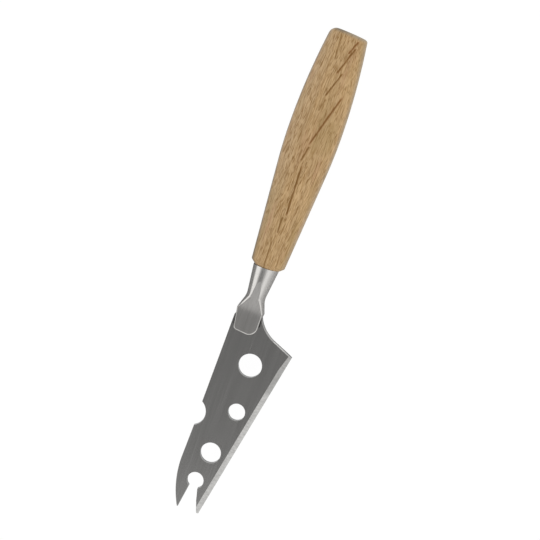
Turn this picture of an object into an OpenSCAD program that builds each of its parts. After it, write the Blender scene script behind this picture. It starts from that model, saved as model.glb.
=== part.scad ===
// Fork-tipped cheese knife: a pierced steel blade, a cast steel neck and a flattened wooden handle.
// X runs along the handle towards its butt, Y towards the spine and Z up from the knife lying flat.
// Places along the blade are measured from its shoulder towards the tips, and places along the
// neck and the handle from the wood's front end. Heights are measured in Y from the handle's axis.

/* [Handle] */
// Length of the wood from its front end to its butt
handle_length = 102.5; // [85:0.5:125]
// Width of the wood at its widest place
handle_width = 22.3; // [19:0.1:26]
// Thickness of the wood at its widest place
handle_thickness = 18.8; // [16:0.1:22]
// Width of the wood at its front end, before the chamfer
handle_front_width = 14.4; // [13:0.1:17]
// Width of the wood at its butt
handle_butt_width = 15.6; // [13:0.1:18]
// Distance from the front end to the widest place
belly_place = 59.5; // [50:0.5:70]
// Length of the curve between the straight front taper and the widest place
belly_run = 15.5; // [8:0.5:25]
// Length of the chamfer that meets the neck
front_chamfer = 1.75; // [1:0.05:3]
// Slant of the butt face, in degrees, that makes the spine side the longer one
butt_slant = 3.8; // [0:0.1:10]
// Radius of the butt's corner on the spine side
butt_spine_radius = 3.2; // [1.5:0.1:5]
// Radius of the butt's corner on the cutting side
butt_edge_radius = 1.2; // [0.5:0.1:4]

/* [Neck] */
// Length of the neck from the wood to the end of its lug
neck_length = 29.5; // [26:0.1:36]
// Width of the neck where it meets the wood
neck_end_width = 11.2; // [9.5:0.1:12.5]
// Chamfer on the neck's rim at the wood
neck_rim_chamfer = 0.3; // [0.1:0.05:0.6]
// Width of the neck where its two straight tapers would meet, before the waist is rounded
waist_width = 8; // [7.5:0.1:9.5]
// Distance from the wood to the waist
waist_place = 13.4; // [11.5:0.1:14]
// Radius of the rounded waist
waist_radius = 8; // [3:0.5:12]
// Width of the neck at its shoulder
shoulder_width = 11.8; // [10.5:0.1:14]
// Distance from the wood to the shoulder
shoulder_place = 19.1; // [18.5:0.1:21]
// How far the neck's turned body lies off the handle's axis, towards the spine
neck_shift = 0.2; // [0:0.05:0.4]
// Distance from the shoulder to where the flare has closed in to the lug
shoulder_run = 4.3; // [2:0.1:5]
// Height of the lug's peak above the handle's axis, on the spine side
lug_peak_height = 6.1; // [5.9:0.1:7]
// Distance from the wood to the lug's peak
lug_peak_place = 19.4; // [18:0.1:20.5]
// Rounding of the lug's peak
lug_peak_radius = 0.6; // [0.2:0.1:1.2]
// Height of the lug's end above the axis, on the spine side
lug_end_height = 4.6; // [4:0.1:5.6]
// Depth of the lug below the axis, on the cutting side
lug_depth = 5.25; // [4.5:0.05:5.6]
// Thickness of the lug over both flats
lug_thickness = 4.9; // [3.8:0.1:6]
// Distance from the wood to the crease where the sloping facet meets the lug's flat
crease_place = 19.7; // [17:0.1:21]
// Depth of the facet's plane below the top of the waist
facet_sink = 0.12; // [0.02:0.01:0.2]
// Slant of the lug's end, in degrees
lug_end_slant = 5.2; // [0:0.1:8]
// Radius of the lug's corner on the spine side
lug_spine_radius = 1.7; // [1:0.1:2.5]
// Radius of the lug's corner on the cutting side
lug_edge_radius = 3.9; // [1:0.1:4.2]

/* [Blade] */
// Thickness of the blade's sheet
blade_thickness = 2; // [1.2:0.1:2.6]
// Length of the blade from its shoulder to the tips
blade_length = 89.8; // [88:0.2:100]
// Distance that the lug reaches over the blade
lug_overlap = 7.4; // [6:0.1:8]
// Height of the spine at the shoulder
spine_root_height = 6.3; // [5.8:0.1:7.5]
// Height of the spine at the notch
spine_notch_height = 6.85; // [6:0.05:8]
// Height of the spine at its highest place
spine_peak_height = 7.3; // [6.5:0.01:9]
// Place of the spine's highest point
spine_peak_place = 68.9; // [62:0.1:74]
// Radius of the curve from the spine's highest point down to the upper tip
tip_curve_radius = 45; // [40:0.5:60]
// Slope of the cutting edge against the handle's axis, in degrees
edge_angle = 10.85; // [10:0.05:11.5]
// Depth of the heel below the handle's axis
heel_depth = 22.94; // [22:0.02:26]
// Place of the heel
heel_place = 10.3; // [8:0.1:14]
// Slope of the straight back of the heel, in degrees
choil_angle = 67; // [62:0.5:72]
// Radius of the hollow curve between the heel and the neck
choil_radius = 15; // [12:0.5:20]
// Depth of the hollow curve's upper end below the axis
choil_root_depth = 6.6; // [5.6:0.05:7.5]
// Width of the ground bevel along the cutting edge
bevel_width = 2.2; // [1:0.1:4]
// Thickness left at the cutting edge
edge_land = 0.3; // [0.1:0.05:0.6]

/* [Holes] */
// Radius of the large hole that a peg or hook goes through
hang_hole_radius = 5.1; // [3:0.1:6]
// Place of the large hole
hang_hole_place = 19.8; // [18:0.1:24]
// Depth of the large hole's centre below the axis
hang_hole_depth = 7.4; // [6:0.1:9]
// Radius of the small hole
small_hole_radius = 3.7; // [2.5:0.1:4.5]
// Place of the small hole
small_hole_place = 41; // [37:0.1:45]
// Depth of the small hole's centre below the axis
small_hole_depth = 8.65; // [7:0.05:9.5]
// Radius of the middle hole
middle_hole_radius = 4.5; // [3:0.1:5]
// Place of the middle hole
middle_hole_place = 62; // [58:0.1:64]
// Depth of the middle hole's centre below the axis
middle_hole_depth = 4; // [3:0.1:5]
// Radius of the notch in the spine
notch_radius = 6.3; // [4:0.05:8]
// Place of the notch
notch_place = 47.5; // [40:0.1:54]
// Depth of the notch below the spine
notch_depth = 3.2; // [1.5:0.1:4]

/* [Fork] */
// Radius of the round end of the fork's gap
keyhole_radius = 3.65; // [3:0.05:4.2]
// Place of the round end's centre
keyhole_place = 76; // [74:0.1:78]
// Depth of the round end's centre below the axis
keyhole_depth = 1.75; // [1:0.05:2.5]
// Height of the gap's upper side at the tips
fork_mouth_top = 1.78; // [1:0.02:2.2]
// Height of the gap's upper side where it meets the round end
fork_throat_top = 0.15; // [-0.5:0.05:0.8]
// Depth of the gap's lower side at the tips
fork_mouth_bottom = 6.8; // [5:0.1:6.9]
// Depth of the gap's lower side halfway along
fork_middle_bottom = 5.05; // [4.5:0.05:5.5]
// Depth of the gap's lower side where it meets the round end
fork_throat_bottom = 3.75; // [3:0.05:4.2]
// Place where the gap's straight sides meet the round end
fork_throat_place = 78.9; // [78.5:0.1:79.3]

/* [Tang and joints] */
// Diameter of the tang rod
tang_diameter = 4.4; // [3:0.1:5]
// Length of the tang rod inside the neck
tang_in_neck = 10; // [6:0.5:10.5]
// Length of the tang rod inside the wood
tang_in_handle = 46; // [25:1:60]
// Chamfer on both ends of the tang rod
tang_chamfer = 0.6; // [0.2:0.1:1]
// Depth of each glue groove round the tang rod
groove_depth = 0.35; // [0.1:0.05:0.6]
// Width of each glue groove
groove_width = 1.4; // [0.6:0.1:2.5]
// Distance between neighbouring glue grooves
groove_pitch = 7; // [4:0.5:9]
// Number of glue grooves
groove_count = 5; // [1:1:6]
// Diameter of the hole drilled in the wood for the tang
wood_bore_diameter = 6.2; // [5.6:0.1:7.5]
// Depth left under the tang's end in the wood's hole
glue_pocket = 2; // [1:0.5:5]
// Depth of the drill's point at the bottom of the wood's hole
drill_point_depth = 1.8; // [0.5:0.1:3]
// Gap between the wood's front end and the start of the glue
glue_start_gap = 0.4; // [0.1:0.1:1]
// Length of the blade's root inside the neck, past the shoulder
root_length = 6.4; // [4:0.1:7]
// Width of the blade's root
root_width = 6.6; // [5:0.1:7.5]
// Length of the braze between the root's end and the pocket's floor
braze_length = 0.6; // [0.3:0.1:1.2]
// Clearance on each side between the blade and the slot that holds it
slot_clearance = 0.05; // [0.02:0.01:0.15]
// Clearance between the tang's end and the floor of the neck's bore
bore_floor_gap = 0.5; // [0.2:0.1:1]

/* [Hidden] */
// How far a cutting shape runs past what it cuts
overrun = 1;
// Facets round a drawn circle, which stands for a true one
circle_facets = 72;
// Straight steps in a rounded corner and in a long curve
corner_steps = 6;
curve_steps = 9;

// The wood and the neck are flattened alike, so that their oval ends meet.
flatness_share = handle_thickness / handle_width;
blade_start = neck_length - lug_overlap;
pocket_depth = root_length + braze_length;
bore_depth = tang_in_handle + glue_pocket;
waist_half = waist_width / 2;
// Share of the waist's half width at which the lug's spine side starts, inside the flare
lug_start_share = 0.9;
waist_top = flatness_share * waist_half;
tip_x = -blade_start - blade_length;
// A place ahead of the lug's slanted end
past_lug_x = -neck_length - lug_depth;
// The knife is moved so that its box stands on the floor with its middle over the origin.
frame_shift = [-(handle_length + tip_x) / 2, (heel_depth - handle_width / 2) / 2, handle_thickness / 2];

// Place on the blade as an X value
function blade_x(place) = -blade_start - place;

// Height of the cutting edge at a place on the blade
function edge_height(place) = (place - heel_place) * tan(edge_angle) - heel_depth;

// How fast the parabolas fall off ahead of the wood's widest place and behind it
function belly_drop_rate() =
  (handle_width - handle_front_width) / 2 / (belly_run * (2 * belly_place - belly_run));
function butt_drop_rate() =
  (handle_width - handle_butt_width) / 2 / pow(handle_length - belly_place, 2);

// Half the wood's width at a distance from its front end: a straight taper, then a parabola up to
// the widest place and another one down to the butt
function handle_half(x) =
  x > belly_place
    ? handle_width / 2 - butt_drop_rate() * pow(x - belly_place, 2)
    : x > belly_place - belly_run
      ? handle_width / 2 - belly_drop_rate() * pow(belly_place - x, 2)
      : handle_front_width / 2 + belly_drop_rate() * 2 * belly_run * x;

function unit(v) = v / norm(v);

// The points of an arc that rounds the corner b between a and c
function corner_arc(a, b, c, r) =
  let (
    to_a = unit(a - b),
    to_c = unit(c - b),
    half = acos(to_a * to_c) / 2,
    centre = b + unit(to_a + to_c) * r / sin(half),
    start = b + to_a * r / tan(half) - centre,
    turn = (180 - 2 * half) * sign(cross(b - a, c - b)),
    from = atan2(start[1], start[0])
  )
  [for (i = [0:corner_steps]) let (a = from + turn * i / corner_steps) centre + r * [cos(a), sin(a)]];

// A closed outline from corners given as x, y and radius
function rounded(corners) =
  let (n = len(corners), flat = [for (p = corners) [p[0], p[1]]])
  [for (i = [0:n - 1])
    each corners[i][2] == 0
      ? [flat[i]]
      : corner_arc(flat[(i + n - 1) % n], flat[i], flat[(i + 1) % n], corners[i][2])];

// A turned solid along +X, made of four quarter turns and flattened in Z. Each point of its
// profile is a radius and a distance along X.
module flattened_turning(profile) {
  for (quarter = [0:3])
    scale([1, 1, flatness_share])
      rotate([90 * quarter, 0, 0])
        rotate([0, 90, 0])
          rotate_extrude(angle = 90, $fn = circle_facets)
            polygon(profile);
}

module rod(diameter, from, to) {
  translate([from, 0, 0])
    rotate([0, 90, 0])
      cylinder(d = diameter, h = to - from, $fn = circle_facets);
}

// Upright plate between two heights, drawn in X and Y
module plate(half_height) {
  translate([0, 0, -half_height])
    linear_extrude(2 * half_height)
      children();
}

module handle_turning() {
  last = handle_length + overrun;
  flattened_turning([
    [0, 0],
    [neck_end_width / 2, 0],
    [handle_half(front_chamfer), front_chamfer],
    for (i = [0:corner_steps])
      let (x = belly_place - belly_run * (1 - i / corner_steps))
        [handle_half(x), x],
    for (i = [1:curve_steps])
      let (x = belly_place + (last - belly_place) * i / curve_steps)
        [handle_half(x), x],
    [0, last]
  ]);
}

// The butt seen from above: a slanted end with two unlike corners, wider than the wood elsewhere
module butt_outline() {
  slope = (handle_width - handle_butt_width) / (handle_length - belly_place);
  flat_top = handle_butt_width / 2 - butt_spine_radius;
  side = handle_butt_width / 2 + slope * handle_length;
  corner_y = handle_butt_width / 2;
  polygon(rounded([
    [-overrun, side + overrun * slope, 0],
    [-overrun, -side - overrun * slope, 0],
    [handle_length - (flat_top + corner_y) * tan(butt_slant), -corner_y, butt_edge_radius],
    [handle_length + butt_spine_radius * tan(butt_slant), corner_y, butt_spine_radius]
  ]));
}

module handle() {
  color("burlywood")
    difference() {
      intersection() {
        handle_turning();
        plate(handle_thickness) butt_outline();
      }
      rod(wood_bore_diameter, -overrun, bore_depth);
      translate([bore_depth, 0, 0])
        rotate([0, 90, 0])
          cylinder(d1 = wood_bore_diameter, d2 = 0, h = drill_point_depth, $fn = circle_facets);
    }
}

module tang_shape() {
  rotate([0, 90, 0])
    rotate_extrude($fn = circle_facets)
      polygon([
        [0, -tang_in_neck],
        [tang_diameter / 2 - tang_chamfer, -tang_in_neck],
        [tang_diameter / 2, tang_chamfer - tang_in_neck],
        for (i = [1:groove_count])
          let (middle = i * groove_pitch)
            each [
              [tang_diameter / 2, middle - groove_width / 2],
              [tang_diameter / 2 - groove_depth, middle - groove_width / 2 + groove_depth],
              [tang_diameter / 2 - groove_depth, middle + groove_width / 2 - groove_depth],
              [tang_diameter / 2, middle + groove_width / 2]
            ],
        [tang_diameter / 2, tang_in_handle - tang_chamfer],
        [tang_diameter / 2 - tang_chamfer, tang_in_handle],
        [0, tang_in_handle]
      ]);
}

module tang() {
  color("silver") tang_shape();
}

module tang_glue() {
  color("khaki")
    difference() {
      rod(wood_bore_diameter, glue_start_gap, bore_depth);
      tang_shape();
    }
}

// The neck's outline as radius against distance from the wood, out to where the flare has closed in
module neck_turning() {
  mirror([1, 0, 0])
    flattened_turning(rounded([
      [0, 0, 0],
      [neck_end_width / 2 - neck_rim_chamfer, 0, 0],
      [neck_end_width / 2, neck_rim_chamfer, 0],
      [waist_half, waist_place, waist_radius],
      [shoulder_width / 2, shoulder_place, 0],
      [lug_depth, shoulder_place + shoulder_run, 0],
      [0, shoulder_place + shoulder_run, 0]
    ]));
}

// The lug from above: it starts inside the flare, peaks at the shoulder and tapers to its end
module lug_outline() {
  slope = tan(lug_end_slant);
  polygon(rounded([
    [-(waist_place + shoulder_place) / 2, lug_start_share * waist_half, 0],
    [-lug_peak_place, lug_peak_height, lug_peak_radius],
    [lug_end_height * slope - neck_length, lug_end_height, lug_spine_radius],
    [-lug_depth * slope - neck_length, -lug_depth, lug_edge_radius],
    [-shoulder_place, -lug_depth, 0]
  ]));
}

// The neck seen from the side: two sloping facets that run into the lug's parallel flats
module neck_side() {
  top = waist_top - facet_sink;
  slope = (top - lug_thickness / 2) / (crease_place - waist_place);
  half = [
    [past_lug_x, lug_thickness / 2],
    [-crease_place, lug_thickness / 2],
    [overrun, lug_thickness / 2 + slope * (crease_place + overrun)]
  ];
  rotate([90, 0, 0])
    plate(shoulder_width)
      polygon([each half, for (i = [len(half) - 1:-1:0]) [half[i][0], -half[i][1]]]);
}

module neck() {
  slot_height = blade_thickness / 2 + slot_clearance;
  color("gainsboro")
    difference() {
      intersection() {
        union() {
          translate([0, neck_shift, 0]) neck_turning();
          plate(lug_thickness) lug_outline();
        }
        neck_side();
      }
      plate(slot_height)
        translate([past_lug_x, -shoulder_width])
          square([slot_clearance - blade_start - past_lug_x, 2 * shoulder_width]);
      plate(slot_height)
        translate([-blade_start - overrun, -root_width / 2 - slot_clearance])
          square([pocket_depth + overrun, root_width + 2 * slot_clearance]);
      rod(tang_diameter, -tang_in_neck - bore_floor_gap, overrun);
    }
}

module slot_braze() {
  color("darkgray")
    plate(blade_thickness / 2)
      translate([root_length - blade_start, -root_width / 2])
        square([braze_length, root_width]);
}

// The hollow behind the heel: straight from the heel, then an arc that ends at the shoulder
function choil_points() =
  let (
    heel = [blade_x(heel_place), -heel_depth],
    root = [-blade_start, -choil_root_depth],
    along = [cos(choil_angle), sin(choil_angle)],
    outward = [sin(choil_angle), -cos(choil_angle)],
    away = (root - heel) * outward - choil_radius,
    run = (root - heel) * along - sqrt(choil_radius * choil_radius - away * away),
    centre = heel + run * along + choil_radius * outward,
    from = choil_angle + 90,
    to = atan2(root[1] - centre[1], root[0] - centre[0])
  )
  [
    heel,
    for (i = [0:curve_steps])
      let (a = from + (to - from) * i / curve_steps) centre + choil_radius * [cos(a), sin(a)]
  ];

// How far the curve to the upper tip has come down from the spine's highest point
function tip_drop(place) =
  tip_curve_radius - sqrt(pow(tip_curve_radius, 2) - pow(place - spine_peak_place, 2));

module blade_outline() {
  polygon([
    [root_length - blade_start, root_width / 2],
    [-blade_start, root_width / 2],
    [-blade_start, spine_root_height],
    [blade_x(notch_place), spine_notch_height],
    for (i = [0:curve_steps])
      let (place = spine_peak_place + (blade_length - spine_peak_place) * i / curve_steps)
        [blade_x(place), spine_peak_height - tip_drop(place)],
    [tip_x, edge_height(blade_length)],
    each choil_points(),
    [-blade_start, -root_width / 2],
    [root_length - blade_start, -root_width / 2]
  ]);
}

module round_hole(place, depth, radius) {
  translate([blade_x(place), -depth, -blade_thickness])
    cylinder(r = radius, h = 2 * blade_thickness, $fn = circle_facets);
}

// The gap between the two tips, which narrows to its round end
module fork_gap() {
  run = blade_length - fork_throat_place;
  top_slope = (fork_mouth_top - fork_throat_top) / run;
  bottom_slope = 2 * (fork_mouth_bottom - fork_middle_bottom) / run;
  round_hole(keyhole_place, keyhole_depth, keyhole_radius);
  plate(blade_thickness)
    polygon([
      [blade_x(keyhole_place), fork_throat_top - (fork_throat_place - keyhole_place) * top_slope],
      [tip_x - overrun, fork_mouth_top + overrun * top_slope],
      [tip_x - overrun, -fork_mouth_bottom - overrun * bottom_slope],
      [blade_x(fork_throat_place + run / 2), -fork_middle_bottom],
      [blade_x(fork_throat_place), -fork_throat_bottom],
      [blade_x(keyhole_place), -fork_throat_bottom]
    ]);
}

// The wedge that the grinder takes off one face along the cutting edge
module bevel_cut() {
  slope = (blade_thickness - edge_land) / 2 / bevel_width;
  translate([blade_x(heel_place), -heel_depth, 0])
    rotate([0, 0, -edge_angle])
      translate([bevel_width, 0, 0])
        rotate([90, 0, -90])
          linear_extrude(blade_length + 2 * bevel_width)
            polygon([
              [-bevel_width, blade_thickness / 2],
              [-bevel_width, blade_thickness],
              [overrun, blade_thickness],
              [overrun, edge_land / 2 - overrun * slope]
            ]);
}

module blade() {
  color("dimgray")
    difference() {
      plate(blade_thickness / 2) blade_outline();
      round_hole(hang_hole_place, hang_hole_depth, hang_hole_radius);
      round_hole(small_hole_place, small_hole_depth, small_hole_radius);
      round_hole(middle_hole_place, middle_hole_depth, middle_hole_radius);
      round_hole(notch_place, notch_depth - notch_radius - spine_notch_height, notch_radius);
      fork_gap();
      bevel_cut();
      mirror([0, 0, 1]) bevel_cut();
    }
}

translate(frame_shift) blade();
translate(frame_shift) slot_braze();
translate(frame_shift) neck();
translate(frame_shift) tang();
translate(frame_shift) tang_glue();
translate(frame_shift) handle();
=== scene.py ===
"""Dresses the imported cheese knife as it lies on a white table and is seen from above.

The knife's own axes are used throughout: millimetres, X from the wood's front end towards the
butt, Y towards the spine and Z up, with zero on the handle's axis halfway through the blade.
"""

import logging
import math
from dataclasses import dataclass, field
from enum import Enum
from functools import reduce
from typing import Sequence

import bpy
import numpy as np
from mathutils import Matrix, Vector
from mathutils.geometry import delaunay_2d_cdt


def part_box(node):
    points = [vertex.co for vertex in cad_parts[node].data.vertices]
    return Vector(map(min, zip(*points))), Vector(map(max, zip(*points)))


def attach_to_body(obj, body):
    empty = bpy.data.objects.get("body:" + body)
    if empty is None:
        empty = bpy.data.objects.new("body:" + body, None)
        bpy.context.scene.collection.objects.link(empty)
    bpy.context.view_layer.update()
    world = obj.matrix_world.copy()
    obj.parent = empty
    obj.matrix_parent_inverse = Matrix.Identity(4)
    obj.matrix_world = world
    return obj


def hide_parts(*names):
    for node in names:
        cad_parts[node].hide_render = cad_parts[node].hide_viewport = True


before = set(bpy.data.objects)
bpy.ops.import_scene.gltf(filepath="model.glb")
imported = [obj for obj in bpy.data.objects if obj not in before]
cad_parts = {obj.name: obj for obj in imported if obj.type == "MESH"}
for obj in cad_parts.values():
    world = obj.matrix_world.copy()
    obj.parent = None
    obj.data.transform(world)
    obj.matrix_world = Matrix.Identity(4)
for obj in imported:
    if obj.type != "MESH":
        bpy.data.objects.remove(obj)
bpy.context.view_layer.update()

Pair = tuple[float, float]
Triple = tuple[float, float, float]
Socket = bpy.types.NodeSocket

log = logging.getLogger("cheese_knife")
HANDLE_WIDTH = 22.3
HANDLE_THICKNESS = 18.8
FLATNESS = HANDLE_THICKNESS / HANDLE_WIDTH
MILLIMETRES_A_METRE = 1000.0


class Piece(Enum):
    """The knife's pieces, by their CAD nodes."""

    BLADE = "blade"
    BRAZE = "slot_braze"
    NECK = "neck"
    TANG = "tang"
    GLUE = "tang_glue"
    HANDLE = "handle"


class Slot(Enum):
    """The record's material slots of the pieces that are dressed."""

    BLADE = "blade_steel"
    NECK = "neck_steel"
    OAK = "oak"


class BladeEdge(Enum):
    """What a stretch of the blade's outline is, with how far its rim is chamfered in millimetres."""

    ROOT = 0.0
    CUTTING = 0.01
    RIM = 0.12
    HOLLOW = 0.5


@dataclass(frozen=True)
class KnifeAxis:
    """Turns millimetres on the knife's own axes into metres in the shared frame.

    Attributes:
        start: The wood's front end on its axis, in metres in the shared frame.
    """

    start: Vector

    @classmethod
    def of_handle(cls) -> "KnifeAxis":
        """Finds the wood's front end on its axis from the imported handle."""
        low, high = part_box(Piece.HANDLE.value)
        return cls(Vector((low.x, (low.y + high.y) / 2, (low.z + high.z) / 2)))

    def metres(self, points: np.ndarray) -> np.ndarray:
        """Places points.

        Args:
            points: Millimetres on the knife's axes, one point a row.

        Returns:
            Metres in the shared frame, one point a row.
        """
        return np.asarray(points, float) / MILLIMETRES_A_METRE + np.array(self.start)

    def millimetres(self, points: np.ndarray) -> np.ndarray:
        """Turns metres in the shared frame back into millimetres on the knife's axes."""
        return (points - np.array(self.start)) * MILLIMETRES_A_METRE

    def place(self, x: float, y: float, z: float) -> Vector:
        """Places one point given in millimetres."""
        return Vector((x, y, z)) / MILLIMETRES_A_METRE + self.start


def rounded_line(corners: Sequence[Triple], steps: int) -> np.ndarray:
    """Rounds the inner corners of an open line.

    Args:
        corners: Points as x, y and corner radius; the first and last stay sharp.
        steps: Straight steps in each rounded corner.

    Returns:
        The line's points, one a row.
    """
    straight = math.radians(89.9)
    made = [np.array(corners[0][:2], float)]
    for before, corner, after in zip(corners, corners[1:], corners[2:]):
        a, b, c = (np.array(p[:2], float) for p in (before, corner, after))
        radius = corner[2]
        to_a = (a - b) / np.linalg.norm(a - b)
        to_c = (c - b) / np.linalg.norm(c - b)
        half = math.acos(float(np.clip(to_a @ to_c, -1, 1))) / 2
        if radius <= 0 or half > straight:
            made.append(b)
            continue
        middle = b + (to_a + to_c) / np.linalg.norm(to_a + to_c) * radius / math.sin(half)
        start = b + to_a * radius / math.tan(half) - middle
        end = b + to_c * radius / math.tan(half) - middle
        first = math.atan2(start[1], start[0])
        turn = (math.atan2(end[1], end[0]) - first + math.pi) % (2 * math.pi) - math.pi
        for i in range(steps + 1):
            angle = first + turn * i / steps
            made.append(middle + radius * np.array([math.cos(angle), math.sin(angle)]))
    made.append(np.array(corners[-1][:2], float))
    return np.array(made)


def arc_points(
    middle: Pair, radius: float, first: float, last: float, step: float = 4.0
) -> list[Pair]:
    """Points on an arc.

    Args:
        middle: The arc's centre.
        radius: Its radius.
        first: The angle that it starts at, in degrees.
        last: The angle that it ends at, in degrees.
        step: The largest angle between neighbouring points, in degrees.

    Returns:
        The points from first to last, both included.
    """
    count = max(2, math.ceil(abs(last - first) / step))
    angles = [math.radians(first + (last - first) * i / count) for i in range(count + 1)]
    return [(middle[0] + radius * math.cos(a), middle[1] + radius * math.sin(a)) for a in angles]


def mesh_object(
    name: str, points: Sequence[Sequence[float]], faces: Sequence[Sequence[int]]
) -> bpy.types.Object:
    """Makes a mesh object.

    Args:
        name: The object's name.
        points: Its vertices in metres.
        faces: Its faces as vertex numbers.

    Returns:
        The object, linked to the scene.
    """
    mesh = bpy.data.meshes.new(f"{name}_mesh")
    mesh.from_pydata(points, [], faces)
    thing = bpy.data.objects.new(name, mesh)
    bpy.context.scene.collection.objects.link(thing)
    return thing


def new_piece(
    piece: Piece, points: np.ndarray, faces: Sequence[Sequence[int]], axis: KnifeAxis
) -> bpy.types.Object:
    """Makes one dressed piece of the knife, with its faces turned outward.

    Args:
        piece: The piece that it is.
        points: Its vertices in millimetres.
        faces: Its faces as vertex numbers.
        axis: The knife's axes.

    Returns:
        The object, linked to the scene.
    """
    thing = mesh_object(f"{piece.value}_dressed", axis.metres(points).tolist(), faces)
    thing.data.name = f"{piece.value}_mesh"
    thing.data.validate()
    face_outward(thing)
    return thing


def read_values(items: object, name: str, width: int = 1, kind: type = float) -> np.ndarray:
    """Reads one property of all of a mesh's vertices, loops or faces.

    Args:
        items: The vertices, loops or faces.
        name: Blender's name of the property.
        width: How many numbers an item has.
        kind: float or int.

    Returns:
        The values, one item a row where an item has more than one number.
    """
    found = np.zeros(len(items) * width, kind)
    items.foreach_get(name, found)
    return found.reshape(-1, width) if width > 1 else found


def round_angles(count: int) -> np.ndarray:
    """Gives evenly spaced angles round a full turn, in radians."""
    return np.linspace(0, 2 * math.pi, count, endpoint=False)


def lofted_faces(rings: int, around: int) -> list[list[int]]:
    """Faces that join closed rings of points into one skin, with a single point at either end.

    Args:
        rings: How many rings there are.
        around: How many points each ring has.

    Returns:
        The faces as point numbers; the first ring's end point and then the last ring's follow
        after the rings.
    """
    faces = []
    for ring in range(rings - 1):
        for i in range(around):
            j = (i + 1) % around
            low, high = ring * around, (ring + 1) * around
            faces.append([low + i, low + j, high + j, high + i])
    pole = rings * around
    last = pole - around
    faces += [[(i + 1) % around, i, pole] for i in range(around)]
    faces += [[last + i, last + (i + 1) % around, pole + 1] for i in range(around)]
    return faces


def face_outward(thing: bpy.types.Object) -> None:
    """Turns a closed mesh's faces outward if its volume comes out negative.

    Args:
        thing: The object with the mesh.
    """
    mesh = thing.data
    mesh.calc_loop_triangles()
    at = read_values(mesh.vertices, "co", 3)
    corners = np.array([t.vertices[:] for t in mesh.loop_triangles])
    a, b, c = (at[corners[:, i]] - at[0] for i in range(3))
    if np.einsum("ij,ij->i", a, np.cross(b, c)).sum() < 0:
        mesh.flip_normals()


def shade(thing: bpy.types.Object, sharp_degrees: float) -> None:
    """Shades a mesh smooth apart from its sharp edges.

    Args:
        thing: The object with the mesh.
        sharp_degrees: The angle from which an edge is sharp.
    """
    mesh = thing.data
    mesh.polygons.foreach_set("use_smooth", [True] * len(mesh.polygons))
    mesh.set_sharp_from_angle(angle=math.radians(sharp_degrees))
    mesh.update()


def cut_away(thing: bpy.types.Object, cutters: Sequence[bpy.types.Object]) -> None:
    """Cuts solids out of a piece and deletes them.

    Args:
        thing: The piece, whose mesh is replaced by the cut one.
        cutters: The solids to cut out, one after another.
    """
    for cutter in cutters:
        cut = thing.modifiers.new("cut", "BOOLEAN")
        cut.operation = "DIFFERENCE"
        cut.solver = "EXACT"
        cut.object = cutter
        graph = bpy.context.evaluated_depsgraph_get()
        mesh = bpy.data.meshes.new_from_object(thing.evaluated_get(graph))
        thing.modifiers.clear()
        thing.data = mesh
        bpy.data.objects.remove(cutter)


def prism(outline: Sequence[Triple], sweep: Triple, axis: KnifeAxis) -> bpy.types.Object:
    """Makes a cutter by sweeping an outline along a straight line.

    Args:
        outline: The corners of one end in millimetres.
        sweep: The way from that end to the other.
        axis: The knife's axes.

    Returns:
        A closed solid, linked to the scene.
    """
    near = np.array(outline, float)
    count = len(near)
    points = np.vstack([near, near + np.array(sweep, float)])
    faces = [list(range(count)), list(range(2 * count - 1, count - 1, -1))]
    faces += [[i, i + count, (i + 1) % count + count, (i + 1) % count] for i in range(count)]
    cutter = mesh_object("cutter", axis.metres(points).tolist(), faces)
    face_outward(cutter)
    return cutter


@dataclass(frozen=True)
class SoftLine:
    """A thin dark line in a surface, seen from above.

    Attributes:
        start: Its front end in millimetres, x and y.
        end: Its rear end.
        width: Its width in millimetres.
        darkness: How dark it is.
        redness: How red it is.
        fade: Where it starts to fade and where it ends, as shares of its run from its middle.
    """

    start: Pair
    end: Pair
    width: float
    darkness: float
    redness: float = 0.0
    fade: Pair = (0.41, 0.52)


@dataclass(frozen=True)
class Ramp:
    """A smooth change from one number to another.

    Attributes:
        low: Where it starts.
        high: Where it ends.
        to_low: The number at its start and before it.
        to_high: The number at its end and past it.
    """

    low: float
    high: float
    to_low: float = 0.0
    to_high: float = 1.0


@dataclass(frozen=True)
class Figure:
    """A noise drawn out along the knife.

    Attributes:
        stretch: Cycles a millimetre along the knife and across it.
        detail: How many finer layers are added.
        ramp: How the noise, from 0 to 1, becomes a strength.
    """

    stretch: Pair
    detail: float = 1.0
    ramp: Ramp = Ramp(0.0, 1.0)


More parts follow.
